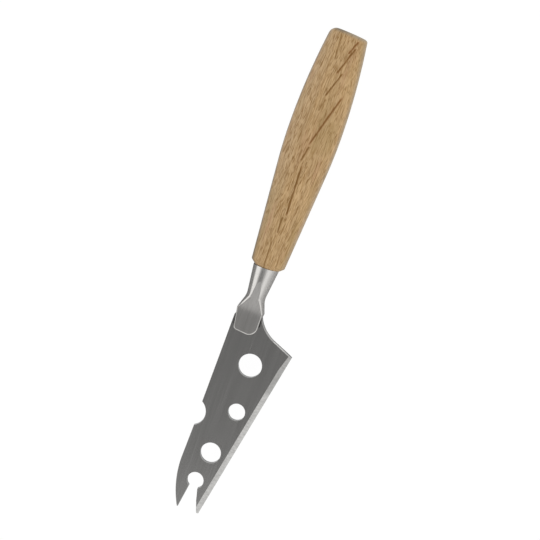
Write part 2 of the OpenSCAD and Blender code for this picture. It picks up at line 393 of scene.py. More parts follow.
class ShaderBoard:
    """Adds shader nodes to one material or world."""

    def __init__(self, owner: bpy.types.ID) -> None:
        """Clears the owner's nodes.

        Args:
            owner: The material or world.
        """
        owner.use_nodes = True
        self.tree = owner.node_tree
        self.tree.nodes.clear()

    def add(self, kind: str, **settings: object) -> bpy.types.Node:
        """Adds a node.

        Args:
            kind: Blender's name of the kind of node.
            **settings: The node's properties.

        Returns:
            The node.
        """
        node = self.tree.nodes.new(kind)
        for name, value in settings.items():
            setattr(node, name, value)
        return node

    def feed(self, socket: Socket, value: object) -> None:
        """Links or sets an input.

        Args:
            socket: The input.
            value: Another node's output, a number or a colour.
        """
        if isinstance(value, Socket):
            self.tree.links.new(value, socket)
        elif isinstance(value, (tuple, list)) and socket.type == "RGBA":
            socket.default_value = (*value, 1.0)
        else:
            socket.default_value = value

    def compute(self, kind: str, operation: str, *values: object) -> Socket:
        """Computes with one node.

        Args:
            kind: Blender's name of the kind of node.
            operation: Blender's name of the operation.
            *values: Its inputs.

        Returns:
            The result.
        """
        node = self.add(kind, operation=operation)
        for socket, value in zip(node.inputs, values):
            self.feed(socket, value)
        return node.outputs[0]

    def maths(self, operation: str, *values: object) -> Socket:
        """Computes on numbers."""
        return self.compute("ShaderNodeMath", operation, *values)

    def vector_maths(self, operation: str, *values: object) -> Socket:
        """Computes on vectors."""
        return self.compute("ShaderNodeVectorMath", operation, *values)

    def times(self, a: object, b: object) -> Socket:
        """Multiplies two numbers."""
        return self.maths("MULTIPLY", a, b)

    def larger(self, a: object, b: object) -> Socket:
        """Gives the larger of two numbers."""
        return self.maths("MAXIMUM", a, b)

    def span(self, value: object, ramp: Ramp) -> Socket:
        """Changes a number along a ramp.

        Args:
            value: The number.
            ramp: The ramp.

        Returns:
            The changed number, kept between the ramp's two ends.
        """
        node = self.add("ShaderNodeMapRange", interpolation_type="SMOOTHSTEP")
        numbers = (value, ramp.low, ramp.high, ramp.to_low, ramp.to_high)
        for socket, number in zip(node.inputs, numbers):
            self.feed(socket, number)
        return node.outputs[0]

    def mix(self, share: object, a: object, b: object, blend: str = "MIX") -> Socket:
        """Mixes two colours.

        Args:
            share: How much of the second colour shows.
            a: The first colour.
            b: The second colour.
            blend: Blender's name of the way to mix.

        Returns:
            The mixed colour.
        """
        node = self.add("ShaderNodeMix", data_type="RGBA", blend_type=blend)
        # The node has inputs for numbers and vectors too: its colours are in 6 and 7 and out 2
        for place, value in zip((0, 6, 7), (share, a, b)):
            self.feed(node.inputs[place], value)
        return node.outputs[2]

    def tint(self, colour: object, by: object) -> Socket:
        """Multiplies a colour by another or by a number."""
        return self.mix(1.0, colour, by, "MULTIPLY")

    def noise(self, at: object, figure: Figure) -> Socket:
        """Samples a noise.

        Args:
            at: Where, in millimetres.
            figure: How the noise is drawn out.

        Returns:
            The noise from 0 to 1.
        """
        along, across = figure.stretch
        node = self.add("ShaderNodeTexNoise", noise_dimensions="3D")
        self.feed(node.inputs["Vector"], self.vector_maths("MULTIPLY", at, (along, across, across)))
        self.feed(node.inputs["Scale"], 1.0)
        self.feed(node.inputs["Detail"], figure.detail)
        return node.outputs["Fac"]

    def shown(self, at: object, figure: Figure) -> Socket:
        """Samples a noise and changes it along its ramp."""
        return self.span(self.noise(at, figure), figure.ramp)

    def spot(self, axis: KnifeAxis) -> Socket:
        """Finds the shaded place.

        Args:
            axis: The knife's axes.

        Returns:
            The place in millimetres on those axes.
        """
        place = self.add("ShaderNodeTexCoord").outputs["Object"]
        moved = self.vector_maths("SUBTRACT", place, tuple(axis.start))
        return self.vector_maths("MULTIPLY", moved, (MILLIMETRES_A_METRE,) * 3)

    def turned(self, at: object, degrees: float) -> Socket:
        """Turns places about Z.

        Args:
            at: The places.
            degrees: How far they turn.

        Returns:
            The turned places.
        """
        node = self.add("ShaderNodeVectorRotate", rotation_type="Z_AXIS")
        self.feed(node.inputs["Vector"], at)
        self.feed(node.inputs["Angle"], math.radians(degrees))
        return node.outputs[0]

    def parts(self, vector: object) -> tuple[Socket, ...]:
        """Splits a vector.

        Args:
            vector: The vector.

        Returns:
            Its three numbers.
        """
        node = self.add("ShaderNodeSeparateXYZ")
        self.feed(node.inputs[0], vector)
        return tuple(node.outputs)

    def line(self, x: object, y: object, line: SoftLine) -> Socket:
        """Masks one soft line.

        Args:
            x: The shaded place along the knife.
            y: The shaded place across it.
            line: The line.

        Returns:
            Its darkness on the line, falling to 0 beside it and past its ends.
        """
        run = line.end[0] - line.start[0]
        slope = (line.end[1] - line.start[1]) / run
        level = self.maths("MULTIPLY_ADD", x, slope, line.start[1] - slope * line.start[0])
        off = self.maths("ABSOLUTE", self.maths("SUBTRACT", y, level))
        middle = (line.start[0] + line.end[0]) / 2
        past = self.maths("ABSOLUTE", self.maths("SUBTRACT", x, middle))
        shown = self.span(past, Ramp(run * line.fade[0], run * line.fade[1], 1.0, 0.0))
        body = self.span(off, Ramp(0.0, line.width, 1.0, 0.0))
        return self.times(shown, self.times(body, line.darkness))

    def bump(self, height: object, depth: float, strength: float) -> Socket:
        """Turns a height into a normal.

        Args:
            height: The height from 0 to 1.
            depth: What 1 stands for, in metres.
            strength: How much of it shows.

        Returns:
            The normal.
        """
        node = self.add("ShaderNodeBump")
        for name, value in (("Strength", strength), ("Distance", depth), ("Height", height)):
            self.feed(node.inputs[name], value)
        return node.outputs[0]

    def show(self, output: str, result: Socket) -> None:
        """Links a shader to a new output node of a kind."""
        self.tree.links.new(result, self.add(output).inputs[0])

    def surface(self, **inputs: object) -> None:
        """Makes the finished surface.

        Args:
            **inputs: The shader's inputs, with spaces written as underscores.
        """
        shader = self.add("ShaderNodeBsdfPrincipled")
        for name, value in inputs.items():
            self.feed(shader.inputs[name.replace("_", " ")], value)
        self.show("ShaderNodeOutputMaterial", shader.outputs[0])


@dataclass(frozen=True)
class SteelFinish:
    """Brushed steel.

    Attributes:
        name: The material's name.
        colour: Its linear colour.
        dark_colour: The colour down in the brushing.
        roughness: Its roughness.
        brushing: Cycles of brushing a millimetre along the brushing and across it.
        turn: The direction of the brushing against the knife's axis, in degrees.
        depth: The depth of the brushing in millimetres.
        mottle: How much the finish varies from place to place.
        painted_shades: Soft dark lines of painted shade, such as the shadow that another piece casts on
            the surface.
        painted_far_light: Painted light: how much lighter the finish is at the far end of the blade.
        far_places: Where all of that shows and where it ends, in millimetres along the knife.
        details: How many finer layers the fine and the broad brushing have.
        broad_stretch: The broad brushing's cycles against the fine brushing's.
        broad_share: How much of the brushing is broad.
        lightness: How the brushing's level becomes the share of its light colour.
        blotches: The noise by which the finish varies.
        painted_shade_colour: The colour of the painted shade in the soft dark lines.
        rough_spread: How much rougher the light brushing is than the dark.
        relief: How much of the brushing's depth shows.
    """

    name: str
    colour: Triple
    dark_colour: Triple
    roughness: float
    brushing: Pair = (0.05, 6.0)
    turn: float = 0.0
    depth: float = 0.004
    mottle: float = 0.06
    painted_shades: tuple[SoftLine, ...] = ()
    painted_far_light: float = 0.0
    far_places: Pair = (-110.0, -80.0)
    details: Pair = (3.0, 2.0)
    broad_stretch: Pair = (0.6, 0.12)
    broad_share: float = 0.3
    lightness: Ramp = Ramp(0.3, 0.72)
    blotches: Figure = Figure((0.09, 0.14), 2.0)
    painted_shade_colour: Triple = (0.02, 0.02, 0.02)
    rough_spread: float = 0.16
    relief: float = 0.35

    def brushed(self, board: ShaderBoard, spot: object) -> Socket:
        """Draws the brushing.

        Args:
            board: The material's nodes.
            spot: The shaded place, turned along the brushing.

        Returns:
            The brushing's level from 0 to 1.
        """
        wider = tuple(cycles * share for cycles, share in zip(self.brushing, self.broad_stretch))
        fine = board.noise(spot, Figure(self.brushing, self.details[0]))
        broad = board.noise(spot, Figure(wider, self.details[1]))
        broad = board.times(broad, self.broad_share)
        return board.maths("MULTIPLY_ADD", fine, 1 - self.broad_share, broad)

    def material(self, axis: KnifeAxis) -> bpy.types.Material:
        """Makes the finish.

        Args:
            axis: The knife's axes, on which it lies.

        Returns:
            The material.
        """
        made = bpy.data.materials.new(self.name)
        board = ShaderBoard(made)
        at = board.turned(board.spot(axis), -self.turn)
        scratch = self.brushed(board, at)
        colour = board.mix(board.span(scratch, self.lightness), self.dark_colour, self.colour)
        blotch = board.noise(at, self.blotches)
        spread = board.maths("MULTIPLY_ADD", blotch, self.mottle, 1 - self.mottle / 2)
        colour = board.tint(colour, spread)
        x, y, _ = board.parts(board.spot(axis))
        # Painted light: the colour lightens towards the far end of the blade
        paler = Ramp(*self.far_places, 1.0 + self.painted_far_light, 1.0)
        colour = board.tint(colour, board.span(x, paler))
        # Painted shade along the soft dark lines
        for line in self.painted_shades:
            colour = board.mix(board.line(x, y, line), colour, self.painted_shade_colour)
        smoothest = self.roughness - self.rough_spread / 2
        board.surface(
            Normal=board.bump(scratch, self.depth / MILLIMETRES_A_METRE, self.relief),
            Base_Color=colour,
            Metallic=1.0,
            Roughness=board.maths("MULTIPLY_ADD", scratch, self.rough_spread, smoothest),
        )
        return made


@dataclass(frozen=True)
class OakFinish:
    """Oiled pale oak with short pores along it and thin dark rays.

    Attributes:
        name: The material's name.
        pale: The lightest wood.
        tan: The common colour.
        olive: The greener patches.
        red: The redder patches.
        pore: The colour inside pores and rays.
        edge_shade: The greyer painted shade along the two sides and round the butt's rim, where the
            rounded edges turn away from the light.
        ray_red: The colour of the redder rays' surroundings.
        greyer: What the wood's colour is multiplied by on the spine side.
        greyer_share: How much of that shows, by Y.
        waves: The noise by which the grain wanders.
        wave_reach: How far it wanders across the knife and up, in millimetres.
        patches: The greener patches.
        reddish: The redder patches.
        bands: The broad lighter and darker bands.
        painted_side_light: Painted light on the wood, by Y: it pales towards the cutting side.
        streaks: The long streaks.
        fibres: The short fibres.
        streak_share: How much of the tone the streaks make.
        paleness: How the tone becomes the share of the lightest colour.
        pores: The short pores.
        pore_lean: How far the pores lie aslant of the fibres, in degrees.
        veins: The long thin veins.
        ray_wobble: How far the fibres push the rays aside, in millimetres.
        ray_top: How much the rays show, by height.
        sides: How strongly the painted edge shade shows on the sides, by the distance from their middle
            height.
        side_shade_by_y: How much of that painted shade shows, by Y.
        slant: How far the butt's rim runs aft for each millimetre towards the spine.
        rim: How strongly the painted edge shade shows round the butt's rim, by X at the axis.
        edge_shade_light: How light the painted edge shade is, by Y: lighter towards the cutting side.
        roughness: The wood's roughness, and what the darkest pores add to it.
        gloss: How strongly the wood mirrors, by the pores' darkness.
        fibre_relief: How high the fibres stand against the pores' depth.
        relief: The depth of the pores in metres, and how much of it shows.
        rays: The rays that show on the upper face.
    """

    name: str = "oiled_oak"
    pale: Triple = (0.555, 0.373, 0.19)
    tan: Triple = (0.41, 0.252, 0.107)
    olive: Triple = (0.37, 0.25, 0.10)
    red: Triple = (0.45, 0.25, 0.135)
    pore: Triple = (0.15, 0.068, 0.012)
    edge_shade: Triple = (0.32, 0.265, 0.19)
    ray_red: Triple = (0.5, 0.2, 0.11)
    greyer: Triple = (0.99, 1.02, 1.1)
    greyer_share: Ramp = Ramp(2.5, 7.0)
    waves: Figure = Figure((0.05, 0.12))
    wave_reach: Pair = (0.8, 0.6)
    patches: Figure = Figure((0.03, 0.2), 2.0, Ramp(0.45, 0.72, 0.0, 0.5))
    reddish: Figure = Figure((0.04, 0.26), 2.0, Ramp(0.52, 0.75, 0.0, 0.5))
    bands: Figure = Figure((0.024, 0.42), 1.0, Ramp(0.32, 0.68, 0.955, 1.045))
    painted_side_light: Ramp = Ramp(-8.5, 6.0, 1.1, 0.93)
    streaks: Figure = Figure((0.035, 1.5), 2.0)
    fibres: Figure = Figure((0.26, 2.7))
    streak_share: float = 0.22
    paleness: Ramp = Ramp(0.36, 0.6)
    pores: Figure = Figure((0.33, 2.7), 0.5, Ramp(0.53, 0.7, 0.0, 0.52))
    pore_lean: float = 4.0
    veins: Figure = Figure((0.02, 2.0), 1.0, Ramp(0.6, 0.72, 0.0, 0.28))
    ray_wobble: float = 0.7
    ray_top: Ramp = Ramp(0.0, 1.5)
    sides: Ramp = Ramp(1.5, 4.6, 1.0, 0.0)
    side_shade_by_y: Ramp = Ramp(-4.0, 4.0, 0.55, 0.92)
    slant: float = 0.066
    rim: Ramp = Ramp(100.2, 102.1)
    edge_shade_light: Ramp = Ramp(-4.0, 4.0, 1.18, 0.6)
    roughness: Pair = (0.5, 0.2)
    gloss: Ramp = Ramp(0.0, 0.6, 0.32, 0.05)
    fibre_relief: float = 0.4
    relief: Pair = (0.00012, 0.35)
    rays: tuple[SoftLine, ...] = (
        SoftLine((-1.0, 0.7), (12.5, 1.0), 0.6, 0.68),
        SoftLine((15.9, 0.0), (23.4, 0.0), 0.62, 0.76),
        SoftLine((23.4, -1.2), (46.2, -0.4), 0.7, 0.86, 0.15),
        SoftLine((47.2, 0.6), (54.1, -0.8), 0.7, 0.8),
        SoftLine((54.0, -0.2), (77.3, -6.7), 0.74, 0.84, 0.45),
        SoftLine((68.5, 0.7), (74.1, -0.7), 0.65, 0.5),
        SoftLine((74.9, 0.1), (86.0, -3.5), 0.68, 0.84, 0.15),
        SoftLine((84.8, -1.2), (97.2, -5.1), 0.72, 0.86, 0.35),
        SoftLine((93.7, -2.9), (99.9, -5.1), 0.74, 0.84, 0.6),
        SoftLine((21.2, 3.5), (29.6, 1.7), 0.6, 0.55),
        SoftLine((46.0, 2.0), (52.1, 1.5), 0.55, 0.45),
        SoftLine((90.0, 1.4), (101.0, 2.4), 0.6, 0.55),
        SoftLine((13.7, -5.1), (23.2, -6.3), 0.6, 0.45),
        SoftLine((34.7, 6.4), (43.4, 4.7), 0.5, 0.42),
        SoftLine((12.7, 3.1), (17.6, 2.3), 0.9, 0.32),
        SoftLine((47.9, 9.2), (53.3, 8.4), 0.6, 0.5),
        SoftLine((53.3, 4.5), (70.0, 4.1), 0.45, 0.38),
        SoftLine((40.5, -1.6), (43.4, -2.1), 0.55, 0.45),
        SoftLine((73.0, 6.8), (76.4, 6.8), 0.6, 0.5),
        SoftLine((40.0, -2.9), (108.0, -4.8), 3.2, 0.12),
    )

    def bent(self, board: ShaderBoard, at: object) -> Socket:
        """Lets the grain wander.

        Args:
            board: The material's nodes.
            at: The shaded place.

        Returns:
            The place, shifted across the knife and up.
        """
        wave = board.maths("SUBTRACT", board.noise(at, self.waves), 0.5)
        shift = board.add("ShaderNodeCombineXYZ")
        for socket, reach in zip(shift.inputs[1:], self.wave_reach):
            board.feed(socket, board.times(wave, reach))
        return board.vector_maths("ADD", at, shift.outputs[0])

    def grain(self, board: ShaderBoard, bent: object, fibre: object) -> Socket:
        """Colours the wood by its streaks and fibres, then by its patches.

        Args:
            board: The material's nodes.
            bent: The shaded place on the wandering grain.
            fibre: The fibres' noise.

        Returns:
            The colour.
        """
        streak = board.times(board.noise(bent, self.streaks), self.streak_share)
        tone = board.maths("MULTIPLY_ADD", fibre, 1 - self.streak_share, streak)
        colour = board.mix(board.span(tone, self.paleness), self.tan, self.pale)
        colour = board.mix(board.shown(bent, self.patches), colour, self.olive)
        return board.mix(board.shown(bent, self.reddish), colour, self.red)

    def pore_mask(self, board: ShaderBoard, bent: object) -> Socket:
        """Masks the short pores, which lie a little aslant, and the long veins.

        Args:
            board: The material's nodes.
            bent: The shaded place on the wandering grain.

        Returns:
            How dark they are.
        """
        dashes = board.shown(board.turned(bent, self.pore_lean), self.pores)
        return board.larger(dashes, board.shown(bent, self.veins))

    def ray_masks(self, board: ShaderBoard, place: Sequence[Socket], fibre: object) -> list[Socket]:
        """Masks the rays on the upper face.

        Args:
            board: The material's nodes.
            place: The shaded place as x, y and z.
            fibre: The fibres' noise, which pushes the rays aside.

        Returns:
            How dark the rays are, and how red.
        """
        x, y, z = place
        wobble = board.times(board.maths("SUBTRACT", fibre, 0.5), self.ray_wobble)
        y = board.maths("ADD", y, wobble)
        above = board.span(z, self.ray_top)
        masks = [(board.line(x, y, ray), ray.redness) for ray in self.rays]
        dark = reduce(board.larger, [mask for mask, _ in masks])
        red = reduce(board.larger, [board.times(mask, redness) for mask, redness in masks if redness])
        return [board.times(dark, above), board.times(red, above)]

    def painted_light_and_edge_shade(
        self, board: ShaderBoard, colour: Socket, place: Sequence[Socket], bent: object
    ) -> Socket:
        """Paints light and shade on the wood: paler towards the cutting side, cooler towards the spine,
        and grey painted shade along its sides and round the butt's rim.

        Args:
            board: The material's nodes.
            colour: The wood's colour.
            place: The shaded place as x, y and z.
            bent: The shaded place on the wandering grain.

        Returns:
            The colour with its painted light and shade.
        """
        x, y, z = place
        # Painted light: paler towards the cutting side, times the grain's broad bands
        light = board.times(board.span(y, self.painted_side_light), board.shown(bent, self.bands))
        colour = board.tint(colour, light)
        greyer = board.tint(colour, self.greyer)
        colour = board.mix(board.span(y, self.greyer_share), colour, greyer)
        # Painted shade along the sides and round the butt's rim, where the rounded edges turn from the
        # light
        sides = board.span(board.maths("ABSOLUTE", z), self.sides)
        sides = board.times(sides, board.span(y, self.side_shade_by_y))
        rim = board.span(board.maths("MULTIPLY_ADD", y, -self.slant, x), self.rim)
        edge_shade = board.tint(self.edge_shade, board.span(y, self.edge_shade_light))
        return board.mix(board.larger(sides, rim), colour, edge_shade)

    def material(self, axis: KnifeAxis) -> bpy.types.Material:
        """Makes the finish.

        Args:
            axis: The knife's axes, on which it lies.

        Returns:
            The material.
        """
        made = bpy.data.materials.new(self.name)
        board = ShaderBoard(made)
        at = board.spot(axis)
        place = board.parts(at)
        bent = self.bent(board, at)
        fibre = board.noise(bent, self.fibres)
        lines, redness = self.ray_masks(board, place, fibre)
        dark = board.larger(self.pore_mask(board, bent), lines)
        colour = board.mix(redness, self.grain(board, bent, fibre), self.ray_red)
        colour = board.mix(dark, colour, self.pore)
        height = board.maths("SUBTRACT", board.times(fibre, self.fibre_relief), dark)
        smooth, rougher = self.roughness
        board.surface(
            Normal=board.bump(height, *self.relief),
            Base_Color=self.painted_light_and_edge_shade(board, colour, place, bent),
            Roughness=board.maths("MULTIPLY_ADD", dark, rougher, smooth),
            Specular_IOR_Level=board.span(dark, self.gloss),
        )
        return made


@dataclass(frozen=True)
class PlainFinish:
    """A hidden joint's finish with a fine mottle.

    Attributes:
        name: The material's name.
        colour: Its colour.
        shade: The darker colour of its mottle.
        roughness: Its roughness.
        metallic: 1 for a metal and 0 for a plastic.
        specks: The mottle.
        rough_spread: How much rougher the mottle's light parts are than its dark ones.
        relief: The mottle's depth in metres, and how much of it shows.
    """

    name: str
    colour: Triple
    shade: Triple
    roughness: float
    metallic: float
    specks: Figure = Figure((1.3, 1.3), 4.0, Ramp(0.3, 0.7))
    rough_spread: float = 0.2
    relief: Pair = (0.00005, 0.5)

    def material(self, axis: KnifeAxis) -> bpy.types.Material:
        """Makes the finish.

        Args:
            axis: The knife's axes, on which it lies.

        Returns:
            The material.
        """
        made = bpy.data.materials.new(self.name)
        board = ShaderBoard(made)
        speck = board.noise(board.spot(axis), self.specks)
        light = board.span(speck, self.specks.ramp)
        smoothest = self.roughness - self.rough_spread / 2
        board.surface(
            Normal=board.bump(speck, *self.relief),
            Base_Color=board.mix(light, self.shade, self.colour),
            Metallic=self.metallic,
            Roughness=board.maths("MULTIPLY_ADD", speck, self.rough_spread, smoothest),
        )
        return made


@dataclass
class OakHandle:
    """The flattened, tapering wooden handle with its chamfered front and slanted butt.

    Attributes:
        axis: The knife's axes.
        finish: The wood's finish.
        seam: How far behind the front end of the solid the wood starts.
        length: From the front end of the solid to the butt.
        width: At the belly.
        front_width: Where the straight sides would meet the front end.
        butt_width: At the butt.
        belly_place: Where the wood is widest.
        belly_run: How far in front of that the sides turn straight.
        neck_width: Of the front face.
        chamfer: How long the front chamfer is.
        chamfer_round: The radius of its edge.
        front_run: How far the rounded front reaches past the chamfer.
        front_steps: Straight steps in its rounding.
        butt_slant: How far the butt's face leans, in degrees.
        spine_corner: The radius of the rim on the spine side.
        edge_corner: The radius of the rim on the cutting side.
        rim_round: The radius of the rim on top and underneath.
        bore_radius: Of the tang's bore.
        bore_depth: Of the tang's bore.
        drill_point: How deep the bore's cone is.
        sharp_degrees: The angle from which an edge is sharp.
        around: Points in each ring.
        side_rings: Rings along the sides.
        rim_rings: Rings over the rim, with the last of the sides.
        search_rounds: How often the corner between side and face is worked out anew.
        face_shares: How wide the rings on the butt's face are against the face.
    """

    axis: KnifeAxis
    finish: OakFinish = field(default_factory=OakFinish)
    seam: float = 0.25
    length: float = 102.42
    width: float = HANDLE_WIDTH
    front_width: float = 14.4
    butt_width: float = 15.6
    belly_place: float = 59.5
    belly_run: float = 15.5
    neck_width: float = 11.2
    chamfer: float = 1.75
    chamfer_round: float = 0.9
    front_run: float = 1.2
    front_steps: int = 8
    butt_slant: float = 3.8
    spine_corner: float = 3.2
    edge_corner: float = 1.2
    rim_round: float = 0.9
    bore_radius: float = 3.1
    bore_depth: float = 48.0
    drill_point: float = 1.8
    sharp_degrees: float = 35.0
    around: int = 160
    side_rings: int = 150
    rim_rings: int = 11
    search_rounds: int = 8
    face_shares: tuple[float, ...] = (0.85, 0.65, 0.45, 0.25, 0.1)

    @property
    def slant(self) -> float:
        """How far the butt's face runs aft for each millimetre towards the spine."""
        return math.tan(math.radians(self.butt_slant))

    @property
    def flat_top(self) -> float:
        """Where the flat butt face ends on the spine side."""
        return self.butt_width / 2 - self.spine_corner

    @property
    def face_middle(self) -> float:
        """Where the butt's face crosses the axis."""
        return self.length - self.flat_top * self.slant

    def half_width(self, x: np.ndarray) -> np.ndarray:
        """Half the wood's width.

        Args:
            x: Distances from the front end.

        Returns:
            Half the width at each distance.
        """
        widening = self.belly_run * (2 * self.belly_place - self.belly_run)
        ahead = (self.width - self.front_width) / 2 / widening
        behind = (self.width - self.butt_width) / 2 / (self.length - self.belly_place) ** 2
        straight = self.front_width / 2 + ahead * 2 * self.belly_run * x
        curved = self.width / 2 - ahead * (self.belly_place - x) ** 2
        rear = self.width / 2 - behind * (x - self.belly_place) ** 2
        front = np.where(x > self.belly_place - self.belly_run, curved, straight)
        return np.where(x > self.belly_place, rear, front)

    def ring(self, x: object, q: object, flatness: float) -> np.ndarray:
        """Points round the axis.

        Args:
            x: Place along the axis, one number or one for each point.
            q: Half the width there, one number or one for each point.
            flatness: Height against width.

        Returns:
            The ring's points, one a row.
        """
        t = round_angles(self.around)
        flat = np.broadcast_to(q, t.shape)
        return np.column_stack(
            [np.broadcast_to(x, t.shape), flat * np.cos(t), flat * flatness * np.sin(t)]
        )

    def butt_rings(self) -> list[np.ndarray]:
        """Shapes the wood from behind its chamfer to the middle of its butt.

        Returns:
            Rings along the sides, over the rounded rim and across the slanted face.
        """
        side = np.cos(round_angles(self.around))
        radius = self.rim_round + (self.spine_corner - self.rim_round) * np.clip(side, 0, 1) ** 3
        radius += (self.edge_corner - self.rim_round) * np.clip(-side, 0, 1) ** 3
        # The sharp corner between side and face, found by going from one to the other
        q = np.full_like(side, self.butt_width / 2)
        for _ in range(self.search_rounds):
            x = self.length + (q * side - self.flat_top) * self.slant
            q = self.half_width(x)
        fall = self.half_width(x - 0.5) - self.half_width(x + 0.5)
        along = np.column_stack([-np.ones_like(side), fall]) / np.hypot(1, fall)[:, None]
        inward = np.column_stack([-side * self.slant, -np.ones_like(side)])
        inward /= np.linalg.norm(inward, axis=1)[:, None]
        corner = np.column_stack([x, q])
        # The arc of the rim that rounds this corner
        half = np.arccos(np.einsum("ij,ij->i", along, inward)) / 2
        bisector = along + inward
        bisector /= np.linalg.norm(bisector, axis=1)[:, None]
        middle = corner + bisector * (radius / np.sin(half))[:, None]
        reach = (radius / np.tan(half))[:, None]
        side_end, face_end = corner + along * reach, corner + inward * reach
        start, end = side_end - middle, face_end - middle
        first = np.arctan2(start[:, 1], start[:, 0])
        turn = np.arctan2(end[:, 1], end[:, 0]) - first
        turn = (turn + math.pi) % (2 * math.pi) - math.pi
        places = []
        front = self.chamfer + self.front_run
        for share in np.linspace(0, 1, self.side_rings):
            at = front + (side_end[:, 0] - front) * share
            places.append((at, self.half_width(at)))
        for share in np.linspace(0, 1, self.rim_rings)[1:]:
            angle = first + turn * share
            way = np.column_stack([np.cos(angle), np.sin(angle)])
            places.append((middle + radius[:, None] * way).T)
        centre = self.face_middle
        for share in self.face_shares:
            places.append((centre + (face_end[:, 0] - centre) * share, face_end[:, 1] * share))
        return [self.ring(at, width, FLATNESS) for at, width in places]

    def build(self) -> bpy.types.Object:
        """Builds and dresses the handle.

        Returns:
            The handle.
        """
        behind = self.chamfer + self.front_run
        front = self.half_width(np.array([self.chamfer, behind]))
        profile = rounded_line(
            [
                (self.seam, self.neck_width / 2, 0),
                (self.chamfer, float(front[0]), self.chamfer_round),
                (behind, float(front[1]), 0),
            ],
            self.front_steps,
        )
        bore = (self.bore_depth, self.bore_depth / 2, self.seam)
        rings = [self.ring(x, self.bore_radius, 1.0) for x in bore]
        rings += [self.ring(x, q, FLATNESS) for x, q in profile[:-1]]
        rings += self.butt_rings()
        poles = np.array([[self.bore_depth + self.drill_point, 0, 0], [self.face_middle, 0, 0]])
        faces = lofted_faces(len(rings), self.around)
        made = new_piece(Piece.HANDLE, np.vstack([*rings, poles]), faces, self.axis)
        shade(made, self.sharp_degrees)
        made.data.materials.append(self.finish.material(self.axis))
        return made


